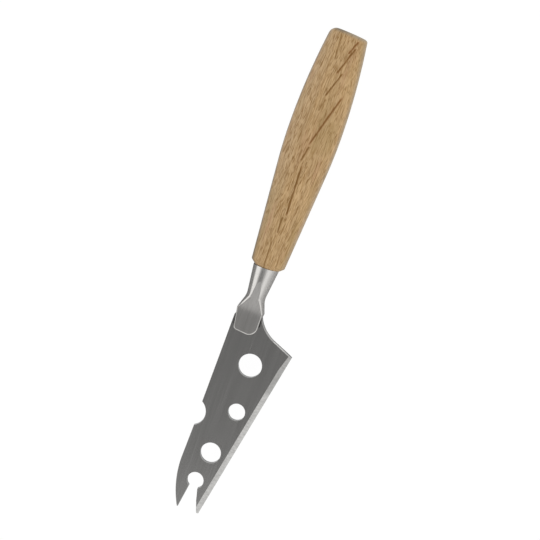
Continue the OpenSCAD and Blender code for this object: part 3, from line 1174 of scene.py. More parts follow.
@dataclass
class SteelNeck:
    """The neck: an oval waist with two sloping facets that run into a slotted flat lug.

    Attributes:
        axis: The knife's axes.
        finish: The steel's finish.
        seam: How far behind the front end of the solid wood the neck ends.
        length: From the wood to the lug's front end, along the axis.
        wood_end_width: Where it meets the wood.
        rim_chamfer: How long the chamfer there is.
        waist_width: At the waist's corner, before it is rounded.
        waist_place: How far that is from the wood.
        waist_radius: How widely it is rounded.
        shoulder_width: At the shoulder's corner.
        shoulder_place: How far that is from the wood.
        shoulder_run: How far in front of that the turned body falls to the lug's depth.
        shoulder_round: The radius of the shoulder's corner.
        cap_round: The radius of the next corner.
        cap_run: How far in front of the shoulder the turned body ends, in shoulder runs.
        side_shift: How far the body lies off the handle's axis, towards the spine.
        round_share: The body's height against its width from the waist on.
        fin_start: Where the lug's spine side leaves the body, from the wood and from the axis.
        peak: The lug's highest corner.
        end_height: Where the lug's front end meets its spine side.
        depth: How far the lug reaches towards the cutting side.
        end_slant: How far the front end leans, in degrees.
        corner_radii: Of the lug's peak and of its two front corners.
        lug_thickness: Over its two flats.
        lug_blend: How softly body and lug are cut together.
        crease_place: Where the facets meet the flats.
        crease_blend: How softly they meet.
        facet_start: Where the facets start, from the wood and from the middle.
        flat_rim: How wide the lug's rims are bevelled.
        end_rim: How far off the body the bevel lies near the wood, where none shows.
        rim_fade: How far before the waist the bevel starts, and how long it takes to grow.
        rim_blend: How softly the bevel meets its neighbours.
        slope_share: The cosine of 45 degrees, at which the bevel leans.
        bore_radius: Of the tang's bore.
        bore_depth: Of the tang's bore.
        blade_start: Where the blade's shoulder meets the slot's floor.
        slot_half: Half the slot's height.
        slot_front: Where the slot's cutter starts, well in front of the lug.
        slot_reach: How far it reaches to either side.
        slot_play: How far behind the shoulder it ends.
        pocket_depth: How far the pocket for the blade's root runs on from the shoulder.
        pocket_half: Half its width.
        pocket_lead: How far in front of the shoulder its cutter starts.
        cap_place: Where the rings across the axis end and those round the front begin.
        walk: Where a walk to the surface starts and how far it may go.
        walk_steps: How often the walk is halved.
        skin_depth: How near the surface a face lies that belongs to the outer skin.
        normal_step: The distance over which the skin's normals are taken.
        body_steps: Straight steps in each rounding of the body.
        lug_steps: Straight steps in each rounding of the lug.
        around: Points in each ring.
        side_rings: Rings across the axis.
        cap_rings: Rings round the front, with the last of the others and the tip.
    """

    axis: KnifeAxis
    finish: SteelFinish = SteelFinish(
        "satin_cast_steel", (0.62, 0.605, 0.585), (0.57, 0.555, 0.535), 0.2, (0.08, 3.0), 0.0, 0.0005
    )
    seam: float = 0.25
    length: float = 29.5
    wood_end_width: float = 11.2
    rim_chamfer: float = 0.3
    waist_width: float = 8.0
    waist_place: float = 13.4
    waist_radius: float = 8.0
    shoulder_width: float = 11.8
    shoulder_place: float = 19.1
    shoulder_run: float = 4.3
    shoulder_round: float = 1.3
    cap_round: float = 1.5
    cap_run: float = 2.5
    side_shift: float = 0.2
    round_share: float = 0.915
    fin_start: Pair = (16.25, 3.6)
    peak: Pair = (19.4, 6.1)
    end_height: float = 4.6
    depth: float = 5.25
    end_slant: float = 5.2
    corner_radii: Triple = (0.6, 1.7, 3.9)
    lug_thickness: float = 4.9
    lug_blend: float = 0.03
    crease_place: float = 19.8
    crease_blend: float = 0.24
    facet_start: Pair = (13.0, 3.34)
    flat_rim: float = 0.32
    end_rim: float = 0.25
    rim_fade: Pair = (1.6, 2.2)
    rim_blend: float = 0.002
    slope_share: float = 0.7071
    bore_radius: float = 2.2
    bore_depth: float = 10.5
    blade_start: float = 22.1
    slot_half: float = 1.05
    slot_front: float = -40.0
    slot_reach: float = 9.0
    slot_play: float = 0.05
    pocket_depth: float = 7.0
    pocket_half: float = 3.35
    pocket_lead: float = 1.0
    cap_place: float = 24.2
    walk: Pair = (0.3, 14.0)
    walk_steps: int = 36
    skin_depth: float = 0.03
    normal_step: float = 0.01
    body_steps: int = 24
    lug_steps: int = 12
    around: int = 384
    side_rings: int = 160
    cap_rings: int = 66

    def body_half(self, s: np.ndarray) -> np.ndarray:
        """Half the turned body's width.

        Args:
            s: Distances from the wood.

        Returns:
            Half the width at each distance.
        """
        line = rounded_line(
            [
                (0, self.wood_end_width / 2, 0),
                (self.waist_place, self.waist_width / 2, self.waist_radius),
                (self.shoulder_place, self.shoulder_width / 2, self.shoulder_round),
                (self.shoulder_place + self.shoulder_run, self.depth, self.cap_round),
                (self.shoulder_place + self.cap_run * self.shoulder_run, 0.0, 0),
            ],
            self.body_steps,
        )
        return np.interp(s, line[:, 0], line[:, 1])

    def lug_distance(self, x: np.ndarray, y: np.ndarray) -> np.ndarray:
        """How far places are outside the lug's outline.

        Args:
            x: Places along the knife.
            y: Places across it.

        Returns:
            Distances, negative inside.
        """
        slope = math.tan(math.radians(self.end_slant))
        peak, spine, edge = self.corner_radii
        line = rounded_line(
            [
                (-self.fin_start[0], self.fin_start[1], 0),
                (-self.peak[0], self.peak[1], peak),
                (self.end_height * slope - self.length, self.end_height, spine),
                (-self.depth * slope - self.length, -self.depth, edge),
                (-self.shoulder_place, -self.depth, 0),
            ],
            self.lug_steps,
        )
        way = np.roll(line, -1, axis=0) - line
        way /= np.linalg.norm(way, axis=1)[:, None]
        normal = np.column_stack([way[:, 1], -way[:, 0]])
        reach = np.einsum("ij,ij->i", line, normal)
        return (x[..., None] * normal[:, 0] + y[..., None] * normal[:, 1] - reach).max(axis=-1)

    def outside(self, points: np.ndarray) -> np.ndarray:
        """How far points are outside the neck, about in millimetres and negative inside.

        Args:
            points: The points, with x, y and z last.

        Returns:
            One number for each point.
        """
        x, y, z = points[..., 0], points[..., 1], points[..., 2]
        rounder = np.clip(-x / self.waist_place, 0, 1)
        rounder = FLATNESS + (self.round_share - FLATNESS) * rounder**2 * (3 - 2 * rounder)
        body = np.hypot(y - self.side_shift, z / rounder) - self.body_half(-x)
        lug = self.lug_distance(x, y)
        joined = (body + lug - np.sqrt((body - lug) ** 2 + self.lug_blend)) / 2
        start, top = self.facet_start
        slope = (top - self.lug_thickness / 2) / (self.crease_place - start)
        rise = slope * (self.crease_place + x)
        rise = (rise + np.sqrt(rise**2 + self.crease_blend**2)) / 2
        flat = np.abs(z) - self.lug_thickness / 2 - rise
        behind, run = self.rim_fade
        fade = np.clip((-x - self.waist_place + behind) / run, 0, 1)
        rim = (joined + flat) * self.slope_share + self.flat_rim * self.slope_share * fade
        rim -= self.end_rim * (1 - fade)
        sharp = np.maximum(joined, flat)
        return (sharp + rim + np.sqrt((sharp - rim) ** 2 + self.rim_blend)) / 2

    def skin(self, starts: np.ndarray, ways: np.ndarray) -> np.ndarray:
        """Walks from inside the neck out to its surface.

        Args:
            starts: Where each walk starts.
            ways: The direction of each walk.

        Returns:
            Where each walk meets the surface.
        """
        low, high = (np.full(starts.shape[:-1], reach) for reach in self.walk)
        for _ in range(self.walk_steps):
            middle = (low + high) / 2
            inside = self.outside(starts + ways * middle[..., None]) < 0
            low = np.where(inside, middle, low)
            high = np.where(inside, high, middle)
        return starts + ways * low[..., None]

    def build(self) -> bpy.types.Object:
        """Builds, slots and dresses the neck.

        Returns:
            The neck.
        """
        t = round_angles(self.around)
        spokes = np.column_stack([np.zeros_like(t), np.cos(t), np.sin(t)])
        end_half = self.wood_end_width / 2 - self.rim_chamfer
        wood_end = np.array([self.seam, 0, 0])
        rings = [
            np.array([-self.bore_depth, 0, 0]) + spokes * self.bore_radius,
            wood_end + spokes * self.bore_radius,
            wood_end + spokes * np.array([1, end_half, end_half * FLATNESS]),
        ]
        for s in np.linspace(self.rim_chamfer - self.seam, self.cap_place, self.side_rings):
            starts = np.broadcast_to(np.array([-s, 0.0, 0.0]), spokes.shape)
            rings.append(self.skin(starts, spokes))
        start = np.array([-self.cap_place, 0.0, 0.0])
        for angle in np.radians(np.linspace(0, 90, self.cap_rings)[1:-1]):
            ways = spokes * math.cos(angle) - np.array([math.sin(angle), 0, 0])
            rings.append(self.skin(np.broadcast_to(start, spokes.shape), ways))
        tip = self.skin(start[None], np.array([[-1.0, 0.0, 0.0]]))
        points = np.vstack([*rings, [[-self.bore_depth, 0, 0]], tip])
        faces = lofted_faces(len(rings), self.around)
        made = new_piece(Piece.NECK, points, faces, self.axis)
        shoulder = -self.blade_start
        slot = self.cutter(self.slot_front, shoulder + self.slot_play, self.slot_reach)
        pocket_front, pocket_rear = shoulder - self.pocket_lead, shoulder + self.pocket_depth
        cut_away(made, [slot, self.cutter(pocket_front, pocket_rear, self.pocket_half)])
        self.shade_skin(made)
        made.data.materials.append(self.finish.material(self.axis))
        return made

    def shade_skin(self, made: bpy.types.Object) -> None:
        """Gives the outer skin its formula's own normals, so that its creases stay crisp.

        Args:
            made: The cut neck, whose slot, pocket and bore stay flat.
        """
        mesh = made.data
        at = self.axis.millimetres(read_values(mesh.vertices, "co", 3))
        steps = self.normal_step * np.eye(3)
        slope = np.column_stack([self.outside(at + d) - self.outside(at - d) for d in steps])
        slope /= np.linalg.norm(slope, axis=1)[:, None]
        counts = read_values(mesh.polygons, "loop_total", kind=int)
        centres = self.axis.millimetres(read_values(mesh.polygons, "center", 3))
        flat = np.repeat(read_values(mesh.polygons, "normal", 3), counts, axis=0)
        corners = read_values(mesh.loops, "vertex_index", kind=int)
        on_skin = np.repeat(np.abs(self.outside(centres)) < self.skin_depth, counts)
        normals = np.where(on_skin[:, None], slope[corners], flat)
        mesh.polygons.foreach_set("use_smooth", [True] * len(mesh.polygons))
        mesh.normals_split_custom_set(normals.tolist())

    def cutter(self, front: float, rear: float, half: float) -> bpy.types.Object:
        """A flat box as high as the slot.

        Args:
            front: Where it starts along the knife.
            rear: Where it ends.
            half: Half its width.

        Returns:
            The cutter.
        """
        corners = [(front, -half), (rear, -half), (rear, half), (front, half)]
        outline = [(x, y, -self.slot_half) for x, y in corners]
        return prism(outline, (0, 0, 2 * self.slot_half), self.axis)


@dataclass
class PiercedBlade:
    """The sheet-steel blade with its holes, notch, fork and ground bevel.

    Places are distances from the blade's shoulder towards its tip, and heights are Y.

    Attributes:
        axis: The knife's axes.
        finish: The finish of the flat faces.
        ground: The finish of the bevel.
        sheared: The finish of the walls.
        start: How far the shoulder is from the wood.
        length: From the shoulder to the tips.
        thickness: The sheet's.
        root_length: How far the root runs on behind the shoulder.
        root_half: Half the root's width.
        spine_root: The height that the spine would have at the shoulder.
        spine_notch: The spine's height at the notch.
        spine_peak: The spine's greatest height.
        peak_place: Where that is.
        tip_radius: The radius of the spine's curve down to the upper tip.
        edge_angle: How far the cutting edge leans, in degrees.
        heel_depth: The heel's depth below the axis.
        heel_place: Where the heel is.
        hollow_angle: How steeply the hollow leaves the heel, in degrees.
        hollow_radius: The radius of its upper part.
        hollow_root: Where it ends beside the neck, x and y.
        hollow_clear: How far its arc's last point stays from that end.
        hollow_step: The angle between its arc's points, in degrees.
        shoulder_side: The depth at which the shoulder starts below the axis.
        spine_corner: The cut-off corner beside the lug, along the spine and down.
        spine_drop: How much lower the spine is where that corner ends.
        bevel_width: The ground bevel's.
        heel_bevel: Over what length the bevel narrows at the heel, and by how much.
        edge_land: The thickness left at the cutting edge.
        notch: Place, height and radius of the notch.
        keyhole: Place, height and radius of the fork's round end.
        holes: Place, height and radius of each hole.
        hole_rim: How far the holes' rims are chamfered.
        fork_tip: The height of the upper tip's inner corner.
        throat: Place and two heights that the gap's sides aim at.
        jaw: Place and height of the corner in the gap's lower side.
        lower_tip: The height of the lower tip's upper corner.
        straight: The sine under which two stretches count as one line.
        curve_steps: Straight steps in the spine's curve.
        wedge: How far the grinding wedge starts outside the edge, how far in it reaches, and its
            height.
        wedge_gap: How far the heel's wedge overlaps the long one.
        wedge_run: How far it runs on past the heel.
        sharp_degrees: The angle from which an edge is sharp.
        ground_tilt: Between which shares a bevel's normal points up or down.
        wall_tilt: The share under which a face counts as a wall.
    """

    axis: KnifeAxis
    finish: SteelFinish = SteelFinish(
        name="brushed_sheet_steel",
        colour=(0.41, 0.405, 0.395),
        dark_colour=(0.355, 0.35, 0.34),
        roughness=0.24,
        brushing=(0.04, 7.0),
        depth=0.0005,
        # Painted shadows on the flat face beside the lug, on the cutting side and on the spine side
        painted_shades=(
            SoftLine((-25.2, -5.35), (-21.2, -5.3), 0.75, 0.85),
            SoftLine((-27.5, 5.45), (-21.9, 5.8), 0.6, 0.5),
        ),
        # Painted light: the flat faces lighten towards the tips
        painted_far_light=0.12,
    )
    ground: SteelFinish = SteelFinish(
        name="ground_bevel_steel",
        colour=(0.56, 0.555, 0.54),
        dark_colour=(0.385, 0.38, 0.37),
        roughness=0.3,
        brushing=(0.2, 2.0),
        turn=80.0,
        depth=0.001,
        # Painted shade: the bevel darkens towards the heel
        painted_shades=(SoftLine((-52.0, -18.6), (-24.0, -24.0), 6.0, 0.24),),
    )
    sheared: SteelFinish = SteelFinish(
        name="sheared_steel",
        colour=(0.28, 0.28, 0.28),
        dark_colour=(0.21, 0.21, 0.21),
        roughness=0.45,
        brushing=(0.2, 3.0),
        turn=90.0,
    )
    start: float = 22.1
    length: float = 89.8
    thickness: float = 2.0
    root_length: float = 6.4
    root_half: float = 3.3
    spine_root: float = 6.3
    spine_notch: float = 6.85
    spine_peak: float = 7.3
    peak_place: float = 68.9
    tip_radius: float = 45.0
    edge_angle: float = 10.85
    heel_depth: float = 22.94
    heel_place: float = 10.3
    hollow_angle: float = 67.0
    hollow_radius: float = 16.0
    hollow_root: Pair = (-20.75, -5.47)
    hollow_clear: float = 1.1
    hollow_step: float = 3.0
    shoulder_side: float = 5.3
    spine_corner: Pair = (0.95, 0.5)
    spine_drop: float = 0.08
    bevel_width: float = 2.2
    heel_bevel: Pair = (7.3, 0.8)
    edge_land: float = 0.3
    notch: Triple = (47.5, 9.95, 6.3)
    keyhole: Triple = (76.0, -1.75, 3.65)
    holes: tuple[Triple, ...] = (
        (19.8, -7.4, 5.1),
        (41.0, -8.65, 3.7),
        (62.0, -4.0, 4.5),
    )
    hole_rim: float = 0.12
    fork_tip: float = 1.78
    throat: Triple = (78.9, 0.15, -3.75)
    jaw: Pair = (84.35, -5.05)
    lower_tip: float = -6.8
    straight: float = 0.12
    curve_steps: int = 24
    wedge: Triple = (1.0, 3.2, 3.0)
    wedge_gap: float = 0.02
    wedge_run: float = 3.0
    sharp_degrees: float = 12.0
    ground_tilt: Pair = (0.85, 0.985)
    wall_tilt: float = 0.2

    def at(self, place: float) -> float:
        """Turns a place from the blade's shoulder into X."""
        return -self.start - place

    def edge_height(self, place: float) -> float:
        """Height of the cutting edge at a place."""
        rise = math.tan(math.radians(self.edge_angle))
        return (place - self.heel_place) * rise - self.heel_depth

    def tip_height(self, place: float) -> float:
        """Height of the spine's curve down to the upper tip at a place."""
        fall = math.sqrt(self.tip_radius**2 - (place - self.peak_place) ** 2)
        return self.spine_peak - self.tip_radius + fall

    def spine(self) -> list[Pair]:
        """Draws the spine from the shoulder to the upper tip, with its notch.

        Returns:
            Its points.
        """
        place, middle_y, radius = self.notch
        middle = (self.at(place), middle_y)
        rise = math.degrees(math.asin((self.spine_notch - middle_y) / radius))
        run, drop = self.spine_corner
        points = [
            (-self.start, self.spine_root - drop),
            (-self.start - run, self.spine_root - self.spine_drop),
        ]
        points += arc_points(middle, radius, rise, -180 - rise)
        for i in range(self.curve_steps + 1):
            along = self.peak_place + (self.length - self.peak_place) * i / self.curve_steps
            points.append((self.at(along), self.tip_height(along)))
        return points

    def gap(self) -> list[Pair]:
        """Draws the fork's gap from the upper tip round the keyhole to the lower tip.

        Returns:
            Its points.
        """
        place, middle_y, radius = self.keyhole
        middle = (self.at(place), middle_y)
        tip_x = self.at(self.length)
        throat, upper_aim, lower_aim = self.throat
        tip, jaw = (tip_x, self.fork_tip), (self.at(self.jaw[0]), self.jaw[1])
        upper = self.meet_circle(tip, (self.at(throat), upper_aim), middle, radius)
        lower = self.meet_circle(jaw, (self.at(throat), lower_aim), middle, radius)
        first = math.degrees(math.atan2(upper[1] - middle[1], upper[0] - middle[0]))
        last = math.degrees(math.atan2(lower[1] - middle[1], lower[0] - middle[0])) % 360
        arc = arc_points(middle, radius, first, last - 360)
        return [tip, *arc, jaw, (tip_x, self.lower_tip)]

    @staticmethod
    def meet_circle(a: Pair, b: Pair, middle: Pair, radius: float) -> Pair:
        """Where the line from a through b first meets a circle.

        Args:
            a: A point outside the circle.
            b: Another point of the line.
            middle: The circle's centre.
            radius: Its radius.

        Returns:
            The first meeting point.
        """
        way = Vector(b) - Vector(a)
        off = Vector(a) - Vector(middle)
        p, q = way.dot(way), off.dot(way)
        share = (-q - math.sqrt(q * q - p * (off.dot(off) - radius**2))) / p
        met = Vector(a) + way * share
        return met.x, met.y

    def hollow(self) -> list[Pair]:
        """Draws the hollow curve from the heel up to its end beside the neck.

        Returns:
            Its points.
        """
        heel = Vector((self.at(self.heel_place), -self.heel_depth))
        root = Vector(self.hollow_root)
        turn = math.radians(self.hollow_angle)
        along = Vector((math.cos(turn), math.sin(turn)))
        outward = Vector((math.sin(turn), -math.cos(turn)))
        radius = self.hollow_radius
        away = (root - heel).dot(outward) - radius
        run = (root - heel).dot(along) - math.sqrt(radius * radius - away * away)
        middle = heel + run * along + radius * outward
        last = math.degrees(math.atan2(root.y - middle.y, root.x - middle.x))
        first = self.hollow_angle + 90
        arc = arc_points((middle.x, middle.y), radius, first, last, self.hollow_step)
        clear = [point for point in arc if (Vector(point) - root).length > self.hollow_clear]
        return [(heel.x, heel.y), *clear, (root.x, root.y)]

    def outline(self) -> tuple[list[Pair], list[BladeEdge]]:
        """The blade's outline.

        Returns:
            The corners, and what the stretch after each corner is.
        """
        root_x = self.root_length - self.start
        *hollow, hollow_end = self.hollow()
        shoulder = [(-self.start, -self.shoulder_side), (-self.start, -self.root_half)]
        stretches = [
            ([(root_x, self.root_half), (-self.start, self.root_half)], BladeEdge.ROOT),
            (self.spine(), BladeEdge.RIM),
            (self.gap(), BladeEdge.RIM),
            ([(self.at(self.length), self.edge_height(self.length))], BladeEdge.CUTTING),
            (hollow, BladeEdge.HOLLOW),
            ([hollow_end, *shoulder, (root_x, -self.root_half)], BladeEdge.ROOT),
        ]
        corners = [point for points, _ in stretches for point in points]
        kinds = [kind for points, kind in stretches for _ in points]
        return corners, kinds

    def inset(self, corners: Sequence[Pair], kinds: Sequence[BladeEdge]) -> list[Pair]:
        """Moves each stretch of a closed outline inward by its chamfer.

        Args:
            corners: The outline, anticlockwise.
            kinds: What the stretch after each corner is.

        Returns:
            The moved corners.
        """
        moved = []
        for i, here in enumerate(corners):
            at = Vector(here)
            before = (at - Vector(corners[i - 1])).normalized()
            after = (Vector(corners[(i + 1) % len(corners)]) - at).normalized()
            n0, n1 = Vector((-before.y, before.x)), Vector((-after.y, after.x))
            a0, a1 = kinds[i - 1].value, kinds[i].value
            cross = n0.x * n1.y - n0.y * n1.x
            if abs(cross) < self.straight:
                met = at + (n0 + n1).normalized() * (a0 + a1) / 2
            else:
                met = at + Vector((a0 * n1.y - a1 * n0.y, a1 * n0.x - a0 * n1.x)) / cross
            moved.append((met.x, met.y))
        return moved

    def loops(self) -> list[tuple[list[Pair], list[float], list[Pair]]]:
        """Lists the walls of the sheet: its outline, then its holes.

        Returns:
            For each its corners, the chamfer after each corner, and the corners moved inward.
        """
        corners, kinds = self.outline()
        made = [(corners, [kind.value for kind in kinds], self.inset(corners, kinds))]
        for place, y, radius in self.holes:
            near, wide = (
                arc_points((self.at(place), y), size, 0, 360)[:-1]
                for size in (radius, radius + self.hole_rim)
            )
            made.append((near, [self.hole_rim] * len(near), wide))
        return made

    def plate(self) -> bpy.types.Object:
        """Makes the sheet with chamfered rims, before the bevel is ground.

        Returns:
            The object, linked to the scene.
        """
        half = self.thickness / 2
        points, faces, flat, rims = [], [], [], []
        for wall, drops, inner in self.loops():
            count = len(wall)
            base = len(points)
            deep = [half - min(drops[i - 1], drops[i]) for i in range(count)]
            points += [(x, y, half) for x, y in inner]
            points += [(x, y, z) for (x, y), z in zip(wall, deep)]
            points += [(x, y, -z) for (x, y), z in zip(wall, deep)]
            points += [(x, y, -half) for x, y in inner]
            for i in range(count):
                j = (i + 1) % count
                for k in range(3):
                    low, high = base + k * count, base + (k + 1) * count
                    faces.append([low + i, high + i, high + j, low + j])
            rims.append([(len(flat) + i, len(flat) + (i + 1) % count) for i in range(count)])
            flat += [(base + i, base + 3 * count + i, Vector(inner[i])) for i in range(count)]
        filled = self.fill([place for _, _, place in flat], rims)
        faces += [[flat[i][0] for i in triangle] for triangle in filled]
        faces += [[flat[i][1] for i in reversed(triangle)] for triangle in filled]
        return new_piece(Piece.BLADE, np.array(points), faces, self.axis)

    @staticmethod
    def fill(
        places: Sequence[Vector], loops: Sequence[Sequence[tuple[int, int]]]
    ) -> list[list[int]]:
        """Fills the flat face inside the outline and outside the holes.

        Args:
            places: The corners of all the loops.
            loops: The stretches between them, one list for each loop.

        Returns:
            Triangles as corner numbers.
        """
        edges = [edge for loop in loops for edge in loop]
        # Output kind 0 keeps every triangle, and corners nearer than 1e-6 would be joined
        verts, _, triangles, origin, _, _ = delaunay_2d_cdt(list(places), edges, [], 0, 1e-6, True)
        kept = []
        for triangle in triangles:
            middle = sum((verts[i] for i in triangle), Vector((0, 0))) / 3
            crossed = 0
            for i, j in edges:
                a, b = places[i], places[j]
                if (a.y > middle.y) != (b.y > middle.y):
                    share = (middle.y - a.y) / (b.y - a.y)
                    crossed += a.x + share * (b.x - a.x) > middle.x
            if crossed % 2:
                kept.append([origin[i][0] for i in triangle])
        return kept

    def grinder(self, side: int, heel_part: bool) -> bpy.types.Object:
        """Makes the wedge that is ground off one face along the cutting edge.

        Args:
            side: 1 for the upper face and -1 for the lower one.
            heel_part: Whether it is the short wedge, along which the bevel narrows to the heel.

        Returns:
            The cutter.
        """
        half, land = self.thickness / 2, self.edge_land / 2
        slope = (half - land) / self.bevel_width
        turn = math.radians(-self.edge_angle)
        along = Vector((-math.cos(turn), -math.sin(turn)))
        inward = Vector((-along.y, along.x)) * -1
        run, narrowing = self.heel_bevel
        start = Vector((self.at(self.heel_place), -self.heel_depth)) + along * run
        lead, reach, top = self.wedge
        section = [
            (-lead, land - slope * lead),
            (reach, half + slope * (reach - self.bevel_width)),
            (reach, top),
            (-lead, top),
        ]
        sweep = along * self.length
        if heel_part:
            start += along * self.wedge_gap
            sweep = (along + inward * (narrowing / run)) * -(run + self.wedge_run)
        outline = [(*(start + inward * d), z * side) for d, z in section]
        return prism(outline, (sweep.x, sweep.y, 0), self.axis)

    def build(self) -> bpy.types.Object:
        """Builds, grinds and dresses the blade.

        Returns:
            The blade.
        """
        made = self.plate()
        cut_away(made, [self.grinder(side, part) for side in (1, -1) for part in (False, True)])
        shade(made, self.sharp_degrees)
        for finish in (self.finish, self.ground, self.sheared):
            made.data.materials.append(finish.material(self.axis))
        lowest, highest = self.ground_tilt
        for face in made.data.polygons:
            flat = abs(face.normal.z)
            if lowest < flat < highest:
                face.material_index = 1
            elif flat < self.wall_tilt:
                face.material_index = 2
        return made


@dataclass
class HiddenJoints:
    """The tang, its glue and the braze, which stay as CAD made them.

    Attributes:
        axis: The knife's axes.
        finishes: The finish of each.
    """

    axis: KnifeAxis
    finishes: dict[Piece, SteelFinish | PlainFinish] = field(
        default_factory=lambda: {
            Piece.TANG: SteelFinish(
                "turned_rod_steel", (0.55, 0.55, 0.55), (0.42, 0.42, 0.42), 0.35, (6.0, 0.3)
            ),
            Piece.GLUE: PlainFinish("set_epoxy", (0.62, 0.46, 0.20), (0.50, 0.35, 0.13), 0.3, 0.0),
            Piece.BRAZE: PlainFinish("silver_braze", (0.75, 0.70, 0.55), (0.6, 0.54, 0.4), 0.35, 1.0),
        }
    )

    def dress(self) -> list[bpy.types.Object]:
        """Gives each hidden node its finish.

        Returns:
            The nodes.
        """
        nodes = []
        for piece, finish in self.finishes.items():
            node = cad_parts[piece.value]
            node.data.materials.clear()
            node.data.materials.append(finish.material(self.axis))
            nodes.append(node)
        return nodes


@dataclass(frozen=True)
class GreyCard:
    """A sloping card beside the neck that shows only as a reflection in the steel.

    Attributes:
        name: Its name.
        along: Where it starts and ends along the knife, in millimetres.
        across: Where its lower and its upper edge are across the knife.
        rise: The height of its upper edge over the table.
        grey: Its lightness.
        foot: The height of its lower edge over the table.
        roughness: Its roughness.
    """

    name: str
    along: Pair
    across: Pair
    rise: float
    grey: float
    foot: float = 0.2
    roughness: float = 0.9

    def build(self, axis: KnifeAxis) -> bpy.types.Object:
        """Stands the card on the table beside the knife.

        Args:
            axis: The knife's axes.

        Returns:
            The card.
        """
        (start, end), (near, far) = self.along, self.across
        corners = [axis.place(x, y, 0) for x, y in ((start, near), (end, near), (end, far), (start, far))]
        for corner, height in zip(corners, (self.foot, self.foot, self.rise, self.rise)):
            corner.z = height / MILLIMETRES_A_METRE
        card = mesh_object(self.name, corners, [[0, 1, 2, 3]])
        material = bpy.data.materials.new(f"{self.name}_paper")
        ShaderBoard(material).surface(Base_Color=(self.grey,) * 3, Roughness=self.roughness)
        card.data.materials.append(material)
        card.visible_camera = False
        card.visible_diffuse = False
        card.visible_shadow = False
        return card


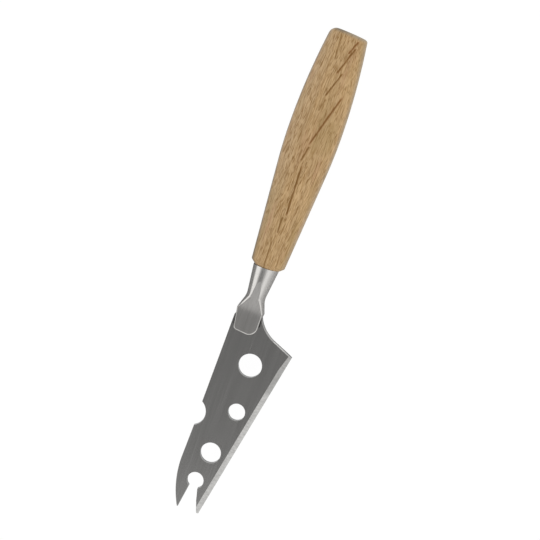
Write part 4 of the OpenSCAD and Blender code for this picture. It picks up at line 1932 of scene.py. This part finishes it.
@dataclass
class PhotoStudio:
    """The white table, the soft light and the camera over the knife.

    Directions in the dome are slopes: how far they lean along X or Y for each unit up.

    Attributes:
        axis: The knife's axes.
        lens: The camera's focal length in millimetres.
        sensor: The width of its film in millimetres.
        clip: The nearest and the farthest that it sees, in metres.
        centre: What it looks at, in millimetres.
        offset: Where it is from there, in millimetres.
        roll: How far it is rolled, in degrees.
        lean: How the knife lies in the picture: its direction's two parts.
        reach: How far the table reaches to each side, in metres.
        drop: How far its top lies under the knife, in metres.
        white: The table's lightness.
        own_light: How much of what the camera and the steel see of it is its own light.
        camera_glow: How much brighter that is for the camera.
        horizon: The least height at which the dome's slopes are taken.
        patch_middle: The slope at the middle of the greyer patch overhead.
        patch_reach: Half its width, and how far it reaches towards -Y and towards +Y.
        patch_light: The light, by the distance from the patch's middle in its own reaches.
        back_light: What the light is multiplied by, by the direction's Y.
        front_light: The same towards the other side.
        cards: The cards beside the neck.
    """

    axis: KnifeAxis
    lens: float = 76.67
    sensor: float = 36.0
    clip: Pair = (0.01, 50.0)
    centre: Triple = (-0.55, -1.653, 0.0)
    offset: Triple = (75.218, -45.729, 474.911)
    roll: float = 0.8925
    lean: Pair = (0.334606, 0.942358)
    reach: float = 6.0
    drop: float = 0.00001
    white: float = 0.95
    own_light: float = 0.95
    camera_glow: float = 0.025
    horizon: float = 0.05
    patch_middle: Pair = (0.0, 0.28)
    patch_reach: Triple = (0.60, 0.72, 0.47)
    patch_light: Ramp = Ramp(0.5, 1.4, 0.27, 1.16)
    back_light: Ramp = Ramp(-1.0, -0.6, 0.6, 1.0)
    front_light: Ramp = Ramp(0.35, 0.75, 1.0, 1.13)
    cards: tuple[GreyCard, ...] = (
        GreyCard("dark_card", (-36.0, 10.0), (7.0, 45.0), 24.0, 0.38),
        GreyCard("grey_card", (-36.0, 10.0), (-6.0, -50.0), 17.0, 0.62),
    )

    def table(self) -> bpy.types.Object:
        """Lays a large white table top under the knife.

        Returns:
            The table top.
        """
        far = self.reach
        table = mesh_object(
            "table", [(-far, -far, 0), (far, -far, 0), (far, far, 0), (-far, far, 0)], [[0, 1, 2, 3]]
        )
        table.location.z = -self.drop
        material = bpy.data.materials.new("white_table")
        board = ShaderBoard(material)
        paper = board.add("ShaderNodeBsdfDiffuse")
        board.feed(paper.inputs["Color"], (self.white,) * 3)
        seen = board.add("ShaderNodeLightPath")
        by_camera = seen.outputs["Is Camera Ray"]
        white = board.add("ShaderNodeEmission")
        board.feed(white.inputs["Strength"], board.maths("MULTIPLY_ADD", by_camera, self.camera_glow, 1.0))
        direct = board.larger(by_camera, seen.outputs["Is Glossy Ray"])
        blend = board.add("ShaderNodeMixShader")
        parts = (board.times(direct, self.own_light), paper.outputs[0], white.outputs[0])
        for socket, part in zip(blend.inputs, parts):
            board.feed(socket, part)
        board.show("ShaderNodeOutputMaterial", blend.outputs[0])
        table.data.materials.append(material)
        return table

    def sky(self) -> None:
        """Lights the scene by a pale dome, greyer straight overhead."""
        world = bpy.data.worlds.new("studio_dome")
        bpy.context.scene.world = world
        board = ShaderBoard(world)
        x, y, z = board.parts(board.add("ShaderNodeTexCoord").outputs["Generated"])
        height = board.larger(z, self.horizon)
        half_x, near_y, far_y = self.patch_reach
        off_x, off_y = (
            board.maths("SUBTRACT", board.maths("DIVIDE", way, height), middle)
            for way, middle in zip((x, y), self.patch_middle)
        )
        off_x = board.maths("DIVIDE", off_x, half_x)
        off_y = board.larger(*(board.maths("DIVIDE", off_y, run) for run in (far_y, -near_y)))
        off = board.maths("SQRT", board.maths("ADD", *(board.times(o, o) for o in (off_x, off_y))))
        level = board.span(off, self.patch_light)
        for light in (self.back_light, self.front_light):
            level = board.times(level, board.span(y, light))
        seen = board.add("ShaderNodeLightPath").outputs["Is Camera Ray"]
        background = board.add("ShaderNodeBackground")
        board.feed(background.inputs["Color"], (1.0, 1.0, 1.0))
        board.feed(background.inputs["Strength"], board.larger(level, seen))
        board.show("ShaderNodeOutputWorld", background.outputs[0])

    def camera(self) -> bpy.types.Object:
        """Sets the camera above the knife, leaning towards the butt and the cutting edge.

        Returns:
            The camera.
        """
        offset = Vector(self.offset)
        look = -offset.normalized()
        side = look.cross(Vector((0, 1, 0))).normalized()
        rise = side.cross(look)
        turn = math.radians(self.roll)
        along = math.cos(turn) * side + math.sin(turn) * rise
        across = -math.sin(turn) * side + math.cos(turn) * rise
        right = self.lean[0] * along - self.lean[1] * across
        up = self.lean[1] * along + self.lean[0] * across
        lens = bpy.data.cameras.new("photo_camera")
        lens.lens = self.lens
        lens.sensor_width = self.sensor
        lens.clip_start, lens.clip_end = self.clip
        seat = self.axis.place(*(Vector(self.centre) + offset))
        camera = bpy.data.objects.new("photo_camera", lens)
        turned = Matrix((right, up, -look)).transposed().to_4x4()
        camera.matrix_world = Matrix.Translation(seat) @ turned
        bpy.context.scene.collection.objects.link(camera)
        bpy.context.scene.camera = camera
        return camera

    def set_up(self) -> None:
        """Sets the table, the light, the camera and the plain view."""
        self.table()
        self.sky()
        for card in self.cards:
            card.build(self.axis)
        self.camera()
        bpy.context.scene.view_settings.view_transform = "Standard"


def attach(thing: bpy.types.Object, piece: Piece) -> None:
    """Puts a new piece in its CAD node's place.

    Args:
        thing: The new piece.
        piece: The node that it stands for.
    """
    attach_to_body(thing, "root")
    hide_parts(piece.value)
    log.info("%s: %d faces", thing.name, len(thing.data.polygons))


def main() -> None:
    """Builds the studio and the knife in order."""
    logging.basicConfig(level=logging.INFO, format="%(name)s: %(message)s")
    axis = KnifeAxis.of_handle()
    PhotoStudio(axis).set_up()
    attach(PiercedBlade(axis).build(), Piece.BLADE)
    attach(SteelNeck(axis).build(), Piece.NECK)
    attach(OakHandle(axis).build(), Piece.HANDLE)
    for node in HiddenJoints(axis).dress():
        log.info("%s: kept from CAD", node.name)


if __name__ == "__main__":
    main()
